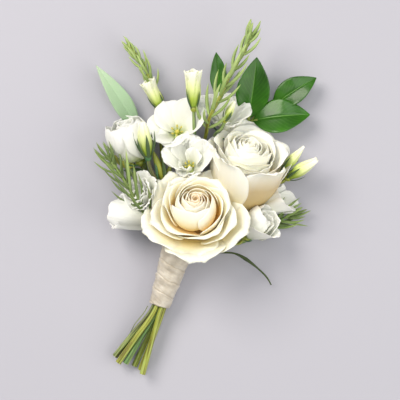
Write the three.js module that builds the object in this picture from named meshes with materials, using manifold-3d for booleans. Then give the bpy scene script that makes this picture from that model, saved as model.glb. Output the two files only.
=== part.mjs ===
// A boutonniere lying on its back: two ivory roses, white lisianthus blooms and buds, glossy leaves and
// rosemary, tied into one short handle. Millimetres and degrees. Everything is laid out in the front view,
// x to the right, y up the picture and z off the table, with the tie at x = y = 0. The last lines turn the
// handle onto the Y axis.
import * as THREE from "three";
import { mergeVertices } from "three/addons/utils/BufferGeometryUtils.js";
import Module from "manifold-3d";

const wasm = await Module();
wasm.setup();
const { Manifold, Mesh } = wasm;

// Driving dimensions
const handleLean = 18.5; // how far the handle leans from upright in the front view
const centreShift = [6.05, -25.70]; // from the tie to the middle of the finished box, once the handle is upright
const tieHeight = 10; // the handle's middle above the table at the tie
const handleSlope = 6.2; // the handle falls this far towards its cut ends
const wrapLength = 24; // ribbon below the tie
const wrapAboveTie = 5;
const wrapThickness = 0.7;
const ribbonTurnHeight = 0.35; // how far one turn of ribbon stands over the next
const ribbonTurns = 5;
const ribbonSlant = 14; // degrees each turn of ribbon leans from square
const tapeThickness = 0.6;
const tapeRadius = 3.9; // inside
const tapeLength = 12; // floral tape below the tie
const clearance = 0.5; // the gap between neighbouring pieces
const smoothing = 0.16; // the surface may move this much to save faces
const stemRadius = 1; // where the stems are squeezed inside the wrap
const cutStemRadius = 1.3; // at the cut ends
const stemRing = 2.45; // the six outer stems stand on this ring round the seventh
const petalThickness = 0.65;
const leafThickness = 0.8;

const rad = THREE.MathUtils.degToRad;
const vec = (x, y, z) => new THREE.Vector3(x, y, z);

function seeded(seed) {
  let state = seed;
  return () => {
    state = (state * 1664525 + 1013904223) % 4294967296;
    return state / 4294967296;
  };
}

// Solids

function solidFrom(points, faces) {
  const vertProperties = new Float32Array(points.flatMap((p) => [p.x, p.y, p.z]));
  return new Manifold(new Mesh({ numProp: 3, vertProperties, triVerts: new Uint32Array(faces) }));
}

function solidOf(geometry) {
  const bare = geometry.clone();
  bare.deleteAttribute("normal");
  bare.deleteAttribute("uv");
  const merged = mergeVertices(bare, 1e-4);
  const vertProperties = merged.attributes.position.array;
  return new Manifold(new Mesh({ numProp: 3, vertProperties, triVerts: new Uint32Array(merged.index.array) }));
}

function join(solids) {
  return Manifold.union(solids);
}

// A solid with faces that are flat within the tolerance merged.
function smoothed(solid, tolerance) {
  const { vertProperties, triVerts, numProp } = solid.getMesh();
  return new Manifold(new Mesh({ numProp, vertProperties, triVerts })).simplify(tolerance);
}

// The main body of a solid, with sealed hollows filled and loose scraps dropped.
function mainBody(solid) {
  const bodies = solid.decompose();
  return bodies.reduce((best, body) => (body.volume() > best.volume() ? body : best));
}

// Whether every edge lies between just two faces once points within a micron are taken as one.
function isSound(solid) {
  const { vertProperties, triVerts, numProp } = solid.getMesh();
  const place = (v) => [0, 1, 2].map((k) => Math.round(vertProperties[v * numProp + k] * 1000)).join();
  const facesAt = new Map();
  triVerts.forEach((from, k) => {
    const to = triVerts[k % 3 === 2 ? k - 2 : k + 1];
    const edge = [place(from), place(to)].sort().join();
    facesAt.set(edge, (facesAt.get(edge) ?? 0) + 1);
  });
  return [...facesAt.values()].every((count) => count === 2);
}

// The main body, smoothed as far as it stays sound.
function tidied(solid) {
  for (const share of [1, 0.75, 0.5, 0.25, 0.1]) {
    const body = mainBody(smoothed(solid, smoothing * share));
    if (isSound(body)) return body;
  }
  return mainBody(solid);
}

// Rings of points joined into a closed solid, turning counterclockwise round the way from first to last.
function loft(rings) {
  const sides = rings[0].length;
  const points = rings.flat();
  const faces = [];
  for (let i = 0; i + 1 < rings.length; i++)
    for (let j = 0; j < sides; j++) {
      const near = i * sides + j;
      const next = i * sides + ((j + 1) % sides);
      faces.push(near, next, next + sides, near, next + sides, near + sides);
    }
  const last = (rings.length - 1) * sides;
  for (let j = 1; j + 1 < sides; j++) {
    faces.push(0, j + 1, j);
    faces.push(last, last + j, last + j + 1);
  }
  return solidFrom(points, faces);
}

// A round stem through points of [x, y, z, radius].
function stem(points, { sides = 5, steps = 1, grow = 0 } = {}) {
  const curve = new THREE.CatmullRomCurve3(points.map((p) => vec(p[0], p[1], p[2])), false, "centripetal");
  const count = (points.length - 1) * steps;
  const rings = [];
  let normal = vec(0.31, 0.2, 0.93);
  for (let i = 0; i <= count; i++) {
    const share = i / count;
    const tangent = curve.getTangent(share);
    normal = normal.clone().addScaledVector(tangent, -normal.dot(tangent)).normalize();
    const binormal = tangent.clone().cross(normal);
    const centre = curve.getPoint(share);
    const from = Math.min(Math.floor(i / steps), points.length - 2);
    const radius = THREE.MathUtils.lerp(points[from][3], points[from + 1][3], i / steps - from) + grow;
    rings.push(Array.from({ length: sides }, (_, j) => {
      const angle = (j / sides) * 2 * Math.PI;
      return centre.clone().addScaledVector(normal, Math.cos(angle) * radius)
        .addScaledVector(binormal, Math.sin(angle) * radius);
    }));
  }
  return loft(rings);
}

// Pairs of points over and under surface(u, v), u from -1 to 1 across and v from 0 to 1 along. A margin adds a
// strip of that width all round.
function sheetGrid(surface, [columns, rows], thickness, margin) {
  const stations = (count) => {
    const own = Array.from({ length: count + 1 }, (_, k) => [k / count, 0]);
    return margin > 0 ? [[0, -margin], ...own, [1, margin]] : own;
  };
  const probe = 0.002;
  return stations(rows).map(([v, beyond]) => stations(columns).map(([share, beside]) => {
    const u = 2 * share - 1;
    const across = surface(u + probe, v).sub(surface(u - probe, v)).normalize();
    const along = surface(u, v + probe).sub(surface(u, v - probe)).normalize();
    const normal = across.clone().cross(along).normalize();
    const middle = surface(u, v).addScaledVector(along.clone().cross(normal), beside)
      .addScaledVector(normal.clone().cross(across), beyond);
    return [thickness / 2, -thickness / 2].map((off) => middle.clone().addScaledVector(normal, off));
  }));
}

// A thin solid along a surface, split alike on both faces.
function sheet(surface, [columns, rows], thickness) {
  const points = sheetGrid(surface, [columns, rows], thickness, 0).flat(2);
  const over = (i, j) => 2 * (i * (columns + 1) + j);
  const faces = [];
  for (let i = 0; i < rows; i++)
    for (let j = 0; j < columns; j++)
      for (const [a, b, c] of [[over(i, j), over(i, j + 1), over(i + 1, j + 1)],
        [over(i, j), over(i + 1, j + 1), over(i + 1, j)]]) faces.push(a, b, c, a + 1, c + 1, b + 1);
  const rim = [];
  for (let j = 0; j < columns; j++) rim.push(over(0, j));
  for (let i = 0; i < rows; i++) rim.push(over(i, columns));
  for (let j = columns; j > 0; j--) rim.push(over(rows, j));
  for (let i = rows; i > 0; i--) rim.push(over(i, 0));
  rim.forEach((a, k) => {
    const b = rim[(k + 1) % rim.length];
    faces.push(a, a + 1, b + 1, a, b + 1, b);
  });
  return solidFrom(points, faces);
}

// The room round a sheet, joined cell by cell so that a tight fold can't turn it inside out. Corners 0 to 3 of a
// cell are over corners 4 to 7, and each wall is split like its neighbour's.
const cellFaces = [
  [0, 1, 2], [0, 2, 3], [4, 6, 5], [4, 7, 6],
  [0, 4, 5], [0, 5, 1], [1, 5, 6], [1, 6, 2],
  [2, 6, 3], [6, 7, 3], [3, 7, 0], [7, 4, 0],
].flat();
function sheetRoom(surface, size, thickness, margin) {
  const grid = sheetGrid(surface, size, thickness, margin);
  const cells = [];
  for (let i = 0; i + 1 < grid.length; i++)
    for (let j = 0; j + 1 < grid[i].length; j++) {
      const corners = [grid[i][j], grid[i][j + 1], grid[i + 1][j + 1], grid[i + 1][j]];
      cells.push(solidFrom([...corners.map(([over]) => over), ...corners.map(([, under]) => under)], cellFaces));
    }
  return join(cells);
}

// A sheet, or the room round it when it is to grow.
function sheetOf(surface, size, thickness, grow) {
  return grow > 0 ? sheetRoom(surface, size, thickness + 2 * grow, grow) : sheet(surface, size, thickness);
}

// A slender three-sided leaf, sunk in at its root and nearly pointed at its tip.
function needle(root, tip, bow, width, depth, grow) {
  const along = tip.clone().sub(root).normalize();
  const side = along.clone().cross(bow).normalize();
  const up = side.clone().cross(along).normalize();
  const triangle = (centre, share) => {
    const w = width * share + 3 * grow;
    const d = depth * share + 3 * grow;
    return [
      centre.clone().addScaledVector(up, (d * 2) / 3),
      centre.clone().addScaledVector(side, w / 2).addScaledVector(up, -d / 3),
      centre.clone().addScaledVector(side, -w / 2).addScaledVector(up, -d / 3),
    ];
  };
  return loft([
    triangle(root, 0.75),
    triangle(root.clone().lerp(tip, 0.5).add(bow), 1),
    triangle(tip.clone().addScaledVector(along, grow), 0.12),
  ]);
}

// Petals

// A petal's surface in its flower's frame, the flower's axis on +z. lean is the midline's angle from the axis
// at its foot, middle and tip, roll turns the last quarter out further, the petal wraps round the axis, and
// shear leans what is high over to the back.
function petalSurface(petal) {
  const {
    azimuth, length, halfWidth, lean, roll = 0, foot = [1.5, 0], spiral = 0, cup = 0, curl = 0,
    ruffle = 0, waves = 3, phase = 0, maxWrap = 1.5, widest = 0.7, waist = 0.12, shoulder = 0.2, shear = 0,
  } = petal;
  const steps = 24;
  const angleAt = (v) =>
    rad(
      lean[0] * 2 * (v - 0.5) * (v - 1) + lean[1] * 4 * v * (1 - v) + lean[2] * 2 * v * (v - 0.5) +
        roll * Math.max(0, (v - 0.75) / 0.25) ** 2,
    );
  const profile = [[foot[0], foot[1]]];
  for (let i = 0; i < steps; i++) {
    const angle = angleAt((i + 0.5) / steps);
    const [r, z] = profile[i];
    profile.push([r + (Math.sin(angle) * length) / steps, z + (Math.cos(angle) * length) / steps]);
  }
  return (u, v) => {
    const side = Math.abs(u);
    const reached = v * (1 - shoulder * side ** 3);
    const place = reached * steps;
    const from = THREE.MathUtils.clamp(Math.floor(place), 0, steps - 1);
    const share = place - from;
    const angle = angleAt(THREE.MathUtils.clamp(reached, 0, 1));
    const opened = 0.5 - 0.5 * Math.cos(Math.min(1, Math.max(0, reached) / widest) * Math.PI);
    const closed = reached > widest ? 1 - 0.4 * ((reached - widest) / (1 - widest)) ** 2 : 1;
    const half = halfWidth * (waist + (1 - waist) * opened) * closed;
    const lift =
      cup * u * u * reached -
      curl * Math.max(0, (side - 0.55) / 0.45) ** 2 * reached +
      spiral * u * Math.min(1, Math.max(0, reached) / 0.2) +
      ruffle * reached ** 2 * (0.3 + 0.7 * side) * Math.sin(waves * Math.PI * u + phase);
    const r = THREE.MathUtils.lerp(profile[from][0], profile[from + 1][0], share);
    const z = THREE.MathUtils.lerp(profile[from][1], profile[from + 1][1], share);
    const turn = rad(azimuth) + THREE.MathUtils.clamp(half / Math.max(r, 1), 0, maxWrap) * u;
    const out = r - Math.cos(angle) * lift;
    const height = z + Math.sin(angle) * lift;
    return vec(Math.cos(turn) * out, Math.sin(turn) * out + shear * height, height);
  };
}

// The matrix of a flower standing on base with its axis along the given way. Azimuth 0 is to the right.
function flowerFrame({ base, axis }) {
  const up = vec(...axis).normalize();
  const right = vec(1, 0, 0).addScaledVector(up, -up.x).normalize();
  const back = up.clone().cross(right);
  return new THREE.Matrix4().makeBasis(right, back, up).setPosition(...base);
}

function placed(solid, matrix) {
  return solid.transform(matrix.elements);
}

// An egg-shaped or tapered core: [radius, height] pairs turned round the axis.
function turned(profile, sides = 10) {
  return solidOf(new THREE.LatheGeometry(profile.map(([r, z]) => new THREE.Vector2(r, z)), sides).rotateX(Math.PI / 2));
}

function coreProfile({ radius, height }, grow) {
  return [
    [0, -grow],
    [radius * 0.8 + grow, -grow],
    [radius + grow, height * 0.25],
    [radius * 0.75 + grow, height * 0.7],
    [0, height + grow],
  ];
}

// All petals of one flower with its core, in place.
function bloom(flower, grow) {
  const petals = flower.petals.map((petal) => sheetOf(petalSurface(petal), petal.grid, petalThickness, grow));
  const core = turned(coreProfile(flower.core, grow));
  return placed(join([core, ...petals]), flowerFrame(flower));
}

// A ring of like petals; each may differ from the rule by what own says for its number.
function ring(count, start, shape, own = {}) {
  const step = 360 / count;
  return Array.from({ length: count }, (_, i) => ({
    ...shape,
    azimuth: start + i * step,
    phase: i * 2.1,
    ...(own[i] ?? {}),
  }));
}

// Roses

const roseHeart = {
  length: 14.5, halfWidth: 5.5, lean: [24, 4, -3], foot: [0.8, 6.2], spiral: 0.9, maxWrap: 2.2, grid: [4, 2],
};
const roseBud = {
  length: 17, halfWidth: 11, lean: [66, 8, -16], foot: [1.2, 4.6], spiral: 1, maxWrap: 1.75, grid: [4, 3],
};
const roseCup = {
  length: 19.5, halfWidth: 12.5, lean: [78, 28, 8], roll: 55, foot: [1.6, 3.1], spiral: 0.8, maxWrap: 1.6,
  grid: [4, 3],
};
const roseMiddle = {
  length: 22.5, halfWidth: 13, lean: [82, 42, 22], roll: 70, foot: [1.8, 1.6], spiral: 0.75, curl: 0.8, ruffle: 0.4,
  grid: [4, 3],
};
const roseOuter = {
  length: 26.5, halfWidth: 14, lean: [86, 56, 44], roll: 90, foot: [2, 0], spiral: 0.7, curl: 1.4, ruffle: 0.7,
  grid: [4, 3],
};
const frontRose = {
  base: [8.9, 12.4, 16.2],
  axis: [-0.02, 0.53, 0.85],
  core: { radius: 3.2, height: 13 },
  petals: [
    ...ring(3, 37, { ...roseHeart, shear: 0.2 }),
    ...ring(3, 95, { ...roseBud, shear: 0.18 }),
    ...ring(4, 45, { ...roseCup, shear: 0.08 }, { 2: { lean: [78, 34, 14] } }),
    ...ring(5, -62, roseMiddle, { 1: { lean: [80, 38, 18] }, 2: { lean: [78, 36, 16] } }),
    ...ring(5, -90, roseOuter, { 2: { lean: [82, 48, 34] }, 3: { lean: [82, 50, 36] } }),
  ],
};
const backRose = {
  base: [29.5, 31.8, 9],
  axis: [0.12, 0.78, 0.62],
  core: { radius: 3, height: 13 },
  petals: [
    ...ring(3, 10, { ...roseHeart, length: 15.5 }),
    ...ring(3, 80, { ...roseBud, length: 18.5 }),
    ...ring(4, 5, { ...roseCup, length: 21.5, lean: [76, 26, 6] }),
    ...ring(5, -110, { ...roseMiddle, foot: [1.8, 1.2], length: 24, halfWidth: 14, lean: [80, 36, 16] }, {
      0: { length: 26, lean: [74, 26, 4], roll: 60 },
      3: { length: 22.5 },
    }),
  ],
};

// Lisianthus

const openPetal = {
  length: 17, halfWidth: 8, lean: [24, 46, 72], roll: 20, foot: [1, 0.3], ruffle: 0.5, waves: 3, spiral: 0.6,
  cup: 0.8, widest: 0.75, waist: 0.08, maxWrap: 1.2, grid: [4, 3],
};
const cupPetal = {
  length: 19, halfWidth: 8.5, lean: [60, 8, -14], foot: [1, 0.3], ruffle: 0.4, waves: 3, spiral: 0.8,
  widest: 0.65, waist: 0.08, maxWrap: 1.3, grid: [4, 3],
};
const lisianthusCore = { radius: 2, height: 4.5 };
const lisianthus = {
  leftBloom: {
    base: [-15.4, 42.4, 8.6], axis: [-0.5, 0.74, 0.45], core: { radius: 2.6, height: 12 },
    petals: [
      ...ring(2, 20, {
        ...cupPetal, length: 16, halfWidth: 8, lean: [38, 2, -6], foot: [0.8, 3.4], ruffle: 0.2, maxWrap: 1.9,
      }),
      ...ring(4, 50, { ...cupPetal, length: 20, halfWidth: 10.5, lean: [64, 12, -14] }),
    ],
  },
  topBloom: {
    base: [1.2, 51.4, 8.5], axis: [-0.12, 0.5, 0.86], core: lisianthusCore,
    petals: ring(5, 44, { ...openPetal, length: 18, halfWidth: 8.5 }, {
      0: { halfWidth: 7 },
      1: { azimuth: 112 },
      2: { azimuth: 178, length: 17, lean: [26, 52, 66], halfWidth: 9.5 },
      3: { azimuth: 240, length: 13 },
      4: { azimuth: 300, length: 9, halfWidth: 5 },
    }),
  },
  middleBloom: {
    base: [6.4, 36, 9], axis: [-0.08, 0.5, 0.86], core: lisianthusCore,
    petals: [
      ...ring(5, 20, { ...openPetal, length: 18, halfWidth: 9, lean: [22, 34, 52] }, {
        3: { length: 11, halfWidth: 7 },
        4: { length: 11, halfWidth: 7 },
      }),
      ...ring(2, 50, { ...openPetal, length: 12, halfWidth: 6, lean: [14, 18, 26], foot: [1.9, 3], grid: [4, 2] }, {
        1: { length: 9 },
      }),
    ],
  },
  upperRightBloom: {
    base: [21.5, 54.5, 6.5], axis: [0.1, 0.82, 0.56], core: lisianthusCore,
    petals: ring(5, 90, { ...openPetal, length: 16, lean: [20, 40, 56] }, {
      2: { length: 12, halfWidth: 6 },
      3: { length: 12, halfWidth: 6 },
    }),
  },
  smallLeftBloom: {
    base: [-10, 25, 9.6], axis: [-0.6, 0.36, 0.7], core: { radius: 1.4, height: 5 },
    petals: ring(4, 10, { ...openPetal, length: 12, halfWidth: 6, lean: [32, 22, 24], grid: [3, 3] }),
  },
  lowerLeftBloom: {
    base: [-5.6, 15, 8.6], axis: [-0.9, 0.12, 0.42], core: { radius: 1.5, height: 6 },
    petals: [
      { ...openPetal, azimuth: -90, length: 24, halfWidth: 9.5, lean: [20, 8, 0], ruffle: 0.4, phase: 1, spiral: 0.3 },
      { ...openPetal, azimuth: 60, length: 24, halfWidth: 8, lean: [24, 14, 20], ruffle: 0.5, phase: 2 },
      { ...openPetal, azimuth: 160, length: 19, halfWidth: 7, lean: [30, 24, 30], ruffle: 0.6, phase: 3 },
    ],
  },
  rightBloom: {
    base: [31.6, 8.2, 10], axis: [0.62, 0.6, 0.5], core: { radius: 2, height: 8 },
    petals: ring(4, -60, { ...cupPetal, length: 18, halfWidth: 7.5, lean: [50, 4, -8], ruffle: 0.9 }, {
      0: { lean: [56, 14, 4], roll: 40 },
    }),
  },
  rearRightBloom: {
    base: [37, 20.6, 6], axis: [0.88, 0.34, 0.34], core: { radius: 2, height: 6 },
    petals: ring(4, -75, { ...openPetal, length: 17, halfWidth: 7.5, lean: [38, 18, 20] }, {
      2: { length: 15 },
      3: { length: 14 },
    }),
  },
};

// Buds: petals twisted shut into a spindle, some flaring again at the top.
function bud({ base, axis, length, radius, twist = 70, girth = [0.45, 0.85, 1, 0.9, 0.7, 0.4] }, grow) {
  const sides = 9;
  const rings = girth.map((share, i) => {
    const level = i / (girth.length - 1);
    return Array.from({ length: sides }, (_, j) => {
      const around = (j / sides) * 2 * Math.PI;
      const angle = around + rad(twist * level);
      const r = radius * share * (1 + 0.12 * level * Math.cos(3 * around)) + grow;
      return vec(Math.cos(angle) * r, Math.sin(angle) * r, level * (length + 2 * grow) - grow);
    });
  });
  return placed(loft(rings), flowerFrame({ base, axis }));
}

const flared = [0.5, 0.85, 0.95, 0.92, 1, 1.15];
const buds = {
  leftTopBud: { base: [-6.6, 65.4, 8.5], axis: [-0.46, 0.84, 0.28], length: 14, radius: 3, girth: flared },
  tallBud: { base: [7.8, 65.6, 21], axis: [-0.02, 0.97, 0.22], length: 15.8, radius: 3.3, girth: flared },
  middleLeftBud: { base: [-12.6, 44, 20.6], axis: [-0.16, 0.95, 0.28], length: 15, radius: 3 },
  tuckedBud: { base: [22.2, 60.4, 19.5], axis: [0.42, 0.86, 0.3], length: 8.5, radius: 1.7 },
  rightUpperBud: {
    base: [48, 37.8, 12], axis: [0.56, 0.66, 0.5], length: 15, radius: 2.3, girth: [0.4, 0.8, 1, 0.8, 0.5, 0.2],
  },
  rightLowerBud: { base: [50.6, 34.6, 12], axis: [0.74, 0.48, 0.47], length: 15.5, radius: 2.9 },
};

// The green round a flower: its swollen foot and slender sepals standing open degrees from the flower's axis.
function calyx(flower, grow, { foot = 1.7, depth = 2.6, sepals = 3, length = 8, open = 60, width = 1.5, start = 25 }) {
  const body = turned([[0, -clearance - depth], [foot * 0.5 + grow, -clearance - depth],
    [foot + grow, -clearance - depth * 0.3], [foot * 0.85 + grow, -clearance], [0, -clearance]], 6);
  const parts = [body];
  for (let i = 0; i < sepals; i++) {
    const turn = rad((i / sepals) * 360 + start);
    const out = vec(Math.cos(turn), Math.sin(turn), 0);
    const root = out.clone().multiplyScalar(foot * 0.6).setZ(-clearance - depth * 0.5);
    const tip = root.clone().addScaledVector(out, length * Math.sin(rad(open)));
    tip.z += length * Math.cos(rad(open));
    const bow = out.clone().multiplyScalar(length * 0.1);
    parts.push(needle(root, tip, bow, width, 0.9, grow));
  }
  return placed(join(parts), flowerFrame(flower));
}

// The handle

const down = vec(-Math.sin(rad(handleLean)) * Math.cos(rad(handleSlope)),
  -Math.cos(rad(handleLean)) * Math.cos(rad(handleSlope)), -Math.sin(rad(handleSlope)));
const handleRight = vec(Math.cos(rad(handleLean)), -Math.sin(rad(handleLean)), 0);
const handleUp = down.clone().cross(handleRight);
const handleFrame = new THREE.Matrix4().makeBasis(handleRight, handleUp, down.clone().negate())
  .setPosition(0, 0, tieHeight);

// A point of the handle: along from the tie towards the cut ends, then to the right and off the table.
function inHandle(along, right, up) {
  return vec(right, up, -along).applyMatrix4(handleFrame).toArray();
}

// Where each full-length stem stands on the ring, and where its cut end lies: [length, right, up].
const slots = {
  frontRose: { angle: 60, end: [56.2, 2.6, 1.8] },
  rightSpray: { angle: 0, end: [55.4, 1.3, -1.8] },
  leafBranch: { angle: -60, end: [54.8, -2, -3.2] },
  topSpray: { angle: -120, end: [50.8, -5.5, -2.6] },
  leftSpray: { angle: 180, end: [53, -11.6, -0.6] },
  tallRosemary: { angle: 120, end: [54.8, -9.3, 1.8] },
  backRose: { angle: 0, ring: 0, end: [54.2, -6.1, 0.9] },
};

// The lower run of a stem, from its cut end up through the wrap.
function handleRun({ angle, ring: radius = stemRing, end }) {
  const right = radius * Math.cos(rad(angle));
  const up = radius * Math.sin(rad(angle));
  const bend = wrapLength + 3;
  return [
    [...inHandle(...end), cutStemRadius],
    [...inHandle((end[0] + bend) / 2, (end[1] + right) / 2, (end[2] + up) / 2), 1.12],
    [...inHandle(bend, right, up), stemRadius],
    [...inHandle(wrapLength / 2, right, up), stemRadius],
    [...inHandle(-wrapAboveTie * 0.8, right, up), stemRadius],
  ];
}

// A closed skin round the handle from rings of [distance below the tie, radius], each leaning by slant degrees.
function skin(levels, sides, slant = 0) {
  const rings = levels.map(([along, radius]) =>
    Array.from({ length: sides }, (_, j) => {
      const turn = (j / sides) * 2 * Math.PI;
      const drop = Math.cos(turn) * radius * Math.tan(rad(slant));
      return vec(Math.cos(turn) * radius, Math.sin(turn) * radius, -along + drop);
    }),
  );
  return loft(rings.reverse());
}

// The bore of a sleeve, cut square through both ends.
function bored(body, bore) {
  return placed(body.subtract(skin(bore, 16)), handleFrame);
}

const floralTape = (grow) => bored(
  skin([-wrapAboveTie - grow, tapeLength + grow].map((along) => [along, tapeRadius + tapeThickness + grow]), 16),
  [[-wrapAboveTie - 2, tapeRadius - grow], [tapeLength + 2, tapeRadius - grow]],
);

// The ribbon tapers towards the cut ends. Each turn starts proud of the one above it.
const ribbonBore = [[-wrapAboveTie - 3, 6.9], [0, 6.25], [tapeLength, 5], [wrapLength, 4], [wrapLength + 3, 3.95]];
const ribbonOuterAt = (along) => {
  const next = Math.max(1, ribbonBore.findIndex(([level]) => level > along));
  const [[a, inner], [b, outer]] = [ribbonBore[next - 1], ribbonBore[next]];
  return THREE.MathUtils.mapLinear(along, a, b, inner, outer) + wrapThickness;
};
const ribbonWrap = (grow) => {
  const levels = [];
  const pitch = (wrapLength + wrapAboveTie + 3.6) / ribbonTurns;
  for (let i = 0; i < ribbonTurns; i++) {
    const start = -wrapAboveTie - 1.8 + i * pitch;
    levels.push([start, ribbonOuterAt(start) + ribbonTurnHeight + grow]);
    levels.push([start + pitch * 0.55, ribbonOuterAt(start + pitch * 0.55) + ribbonTurnHeight * 0.8 + grow]);
    levels.push([start + pitch - 0.25, ribbonOuterAt(start + pitch) + grow]);
  }
  const band = skin([[-wrapAboveTie - grow, 12], [wrapLength + grow, 12]], 8);
  return bored(skin(levels, 18, ribbonSlant), ribbonBore.map(([along, r]) => [along, r - grow]))
    .intersect(placed(band, handleFrame));
};

// Stems and foliage

// The last stretch of a stem up into the foot of a flower, leaving it square.
function intoFlower(flower, { depth = 2.6 }, radius) {
  const frame = flowerFrame(flower);
  const at = (height) => [...vec(0, 0, -clearance - height).applyMatrix4(frame).toArray(), radius];
  return [at(depth + 2.5), at(depth * 0.6)];
}

function roseStem(slot, flower, between, options) {
  return (grow) => join([
    stem([...handleRun(slots[slot]), ...between, ...intoFlower(flower, options, 1.25)], { sides: 7, grow }),
    calyx(flower, grow, options),
  ]);
}

// A branching stem: the main run, then a short stalk to each flower with its calyx.
function spray(slot, trunk, stalks) {
  return (grow) => join([
    stem([...handleRun(slots[slot]), ...trunk], { sides: 7, grow }),
    ...stalks.flatMap(({ flower, from, options }) => [
      stem([...from, ...intoFlower(flower, options, 0.8)], { grow }),
      calyx(flower, grow, options),
    ]),
  ]);
}

const bloomCalyx = {};
const budCalyx = { foot: 1.7, depth: 2.2, length: 8.5, open: 24, width: 1.4, start: 0 };
const roseCalyx = { foot: 3, depth: 3.6, sepals: 5, length: 11, open: 100, width: 3.2 };

// Rosemary: pairs of needles at right angles to the pair below, shorter towards the tip.
function rosemary({ path, from, pairs, length, open = [34, 24], width = 1.5, seed }) {
  return (grow) => {
    const random = seeded(seed);
    const curve = new THREE.CatmullRomCurve3(path.map((p) => vec(p[0], p[1], p[2])), false, "centripetal");
    const parts = [stem(path, { grow })];
    for (let i = 0; i < pairs; i++) {
      const share = i / (pairs - 1);
      const place = THREE.MathUtils.lerp(from / (path.length - 1), 0.985, share);
      const root = curve.getPoint(place);
      const along = curve.getTangent(place);
      const right = along.clone().cross(vec(0, 0, 1)).normalize();
      const up = right.clone().cross(along).normalize();
      for (const half of [0, 180]) {
        const turn = rad(half + 20 + i * 90 + (random() - 0.5) * 40);
        const out = right.clone().multiplyScalar(Math.cos(turn)).addScaledVector(up, Math.sin(turn) * 0.8);
        const lean = rad(THREE.MathUtils.lerp(open[0], open[1], share) + (random() - 0.5) * 12);
        const reach = THREE.MathUtils.lerp(length, length * 0.55, share ** 1.5) * (0.85 + random() * 0.3);
        const tip = root.clone().addScaledVector(along, Math.cos(lean) * reach)
          .addScaledVector(out, Math.sin(lean) * reach);
        const bow = out.clone().multiplyScalar(reach * 0.07);
        parts.push(needle(root, tip, bow, width, 0.9, grow));
      }
    }
    return join(parts);
  };
}

// A leaf blade from base to tip, arched along and folded a little at its midrib.
function leafSurface({ base, tip, halfWidth, arch, fold, face, widest = 0.45 }) {
  const from = vec(...base);
  const to = vec(...tip);
  const along = to.clone().sub(from).normalize();
  const up = vec(...face).addScaledVector(along, -along.dot(vec(...face))).normalize();
  const side = along.clone().cross(up).normalize();
  const skew = Math.log(0.5) / Math.log(widest);
  return (u, v) => {
    const share = THREE.MathUtils.clamp(v, 0, 1);
    const shape = Math.sin(Math.PI * share ** skew) ** 0.85 || 0;
    return from.clone().lerp(to, v)
      .addScaledVector(side, Math.max(halfWidth * shape, 0.3) * u)
      .addScaledVector(up, arch * Math.sin(Math.PI * share) + fold * Math.abs(u) * shape);
  };
}

function leaf(blade, grow) {
  return sheetOf(leafSurface(blade), [4, 6], leafThickness, grow);
}

const glossyLeaves = [
  { base: [18.6, 71, 4.4], tip: [17.4, 90.4, 8], halfWidth: 3.9, arch: 1.2, fold: 0.8, face: [0.35, 0, 1] },
  { base: [32.4, 61, 3.4], tip: [36, 88, 10.5], halfWidth: 7.4, arch: 1.8, fold: 1.6, face: [-0.25, -0.1, 1] },
  { base: [43.4, 66.8, 4], tip: [62.8, 79, 7.5], halfWidth: 5.6, arch: 1.6, fold: 1.4, face: [0.1, -0.3, 1] },
  { base: [34.4, 60, 4.8], tip: [59.8, 62.4, 9], halfWidth: 8, arch: 2.2, fold: 1.8, face: [0.05, 0.3, 1] },
];
const leafTwigs = [
  [[30, 55, 2.8, 0.8], [24, 60, 1.8], [19.4, 67, 2.6], [18.6, 73, 5, 0.6]],
  [[33, 59, 3.4, 0.8], [38, 64, 2.4], [43.4, 66.8, 3.6], [46, 68.4, 4.7, 0.6]],
  [[32, 57, 3, 0.9], [33.6, 59.4, 3.9], [36.6, 60.2, 5.6, 0.7]],
  [[32, 57, 3, 0.9], [32.3, 60, 3.4], [32.9, 64, 4.9, 0.7]],
].map((twig) => twig.map((p) => (p.length < 4 ? [...p, 0.7] : p)));

const leafBranch = (grow) => join([
  stem([...handleRun(slots.leafBranch), [5.6, 8.6, 3.8, 1], [15, 22, 1.9, 1], [25, 42, 1.7, 1], [32, 57.5, 3.1, 0.9]],
    { sides: 7, grow }),
  ...leafTwigs.map((twig) => stem(twig, { grow })),
  ...glossyLeaves.map((blade) => leaf(blade, grow)),
]);

// Thin stalks are tucked in at the top of the handle, between the tape and the ribbon.
function tuckedIn(turn) {
  const at = (along, radius, thickness) =>
    [...inHandle(along, radius * Math.cos(rad(turn)), radius * Math.sin(rad(turn))), thickness];
  return [at(-0.5, 5.3, 0.4), at(-wrapAboveTie, 5.6, 0.4), at(-wrapAboveTie - 3, 5.8, 0.5)];
}

const paleLeafBlade = {
  base: [-18, 57, 4.4], tip: [-36, 84.4, 9.5], halfWidth: 4.6, arch: 1.5, fold: 0.9, face: [0.3, 0.1, 1], widest: 0.36,
};
const paleLeaf = (grow) => join([
  stem([...tuckedIn(224), [-6.6, 15, 3.8, 0.6], [-12, 31, 0.65, 0.8], [-14, 38, 0.65, 0.8], [-17, 53, 3.2, 0.75],
    [-20, 60, 5.6, 0.6]], { grow }),
  leaf(paleLeafBlade, grow),
]);

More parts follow.
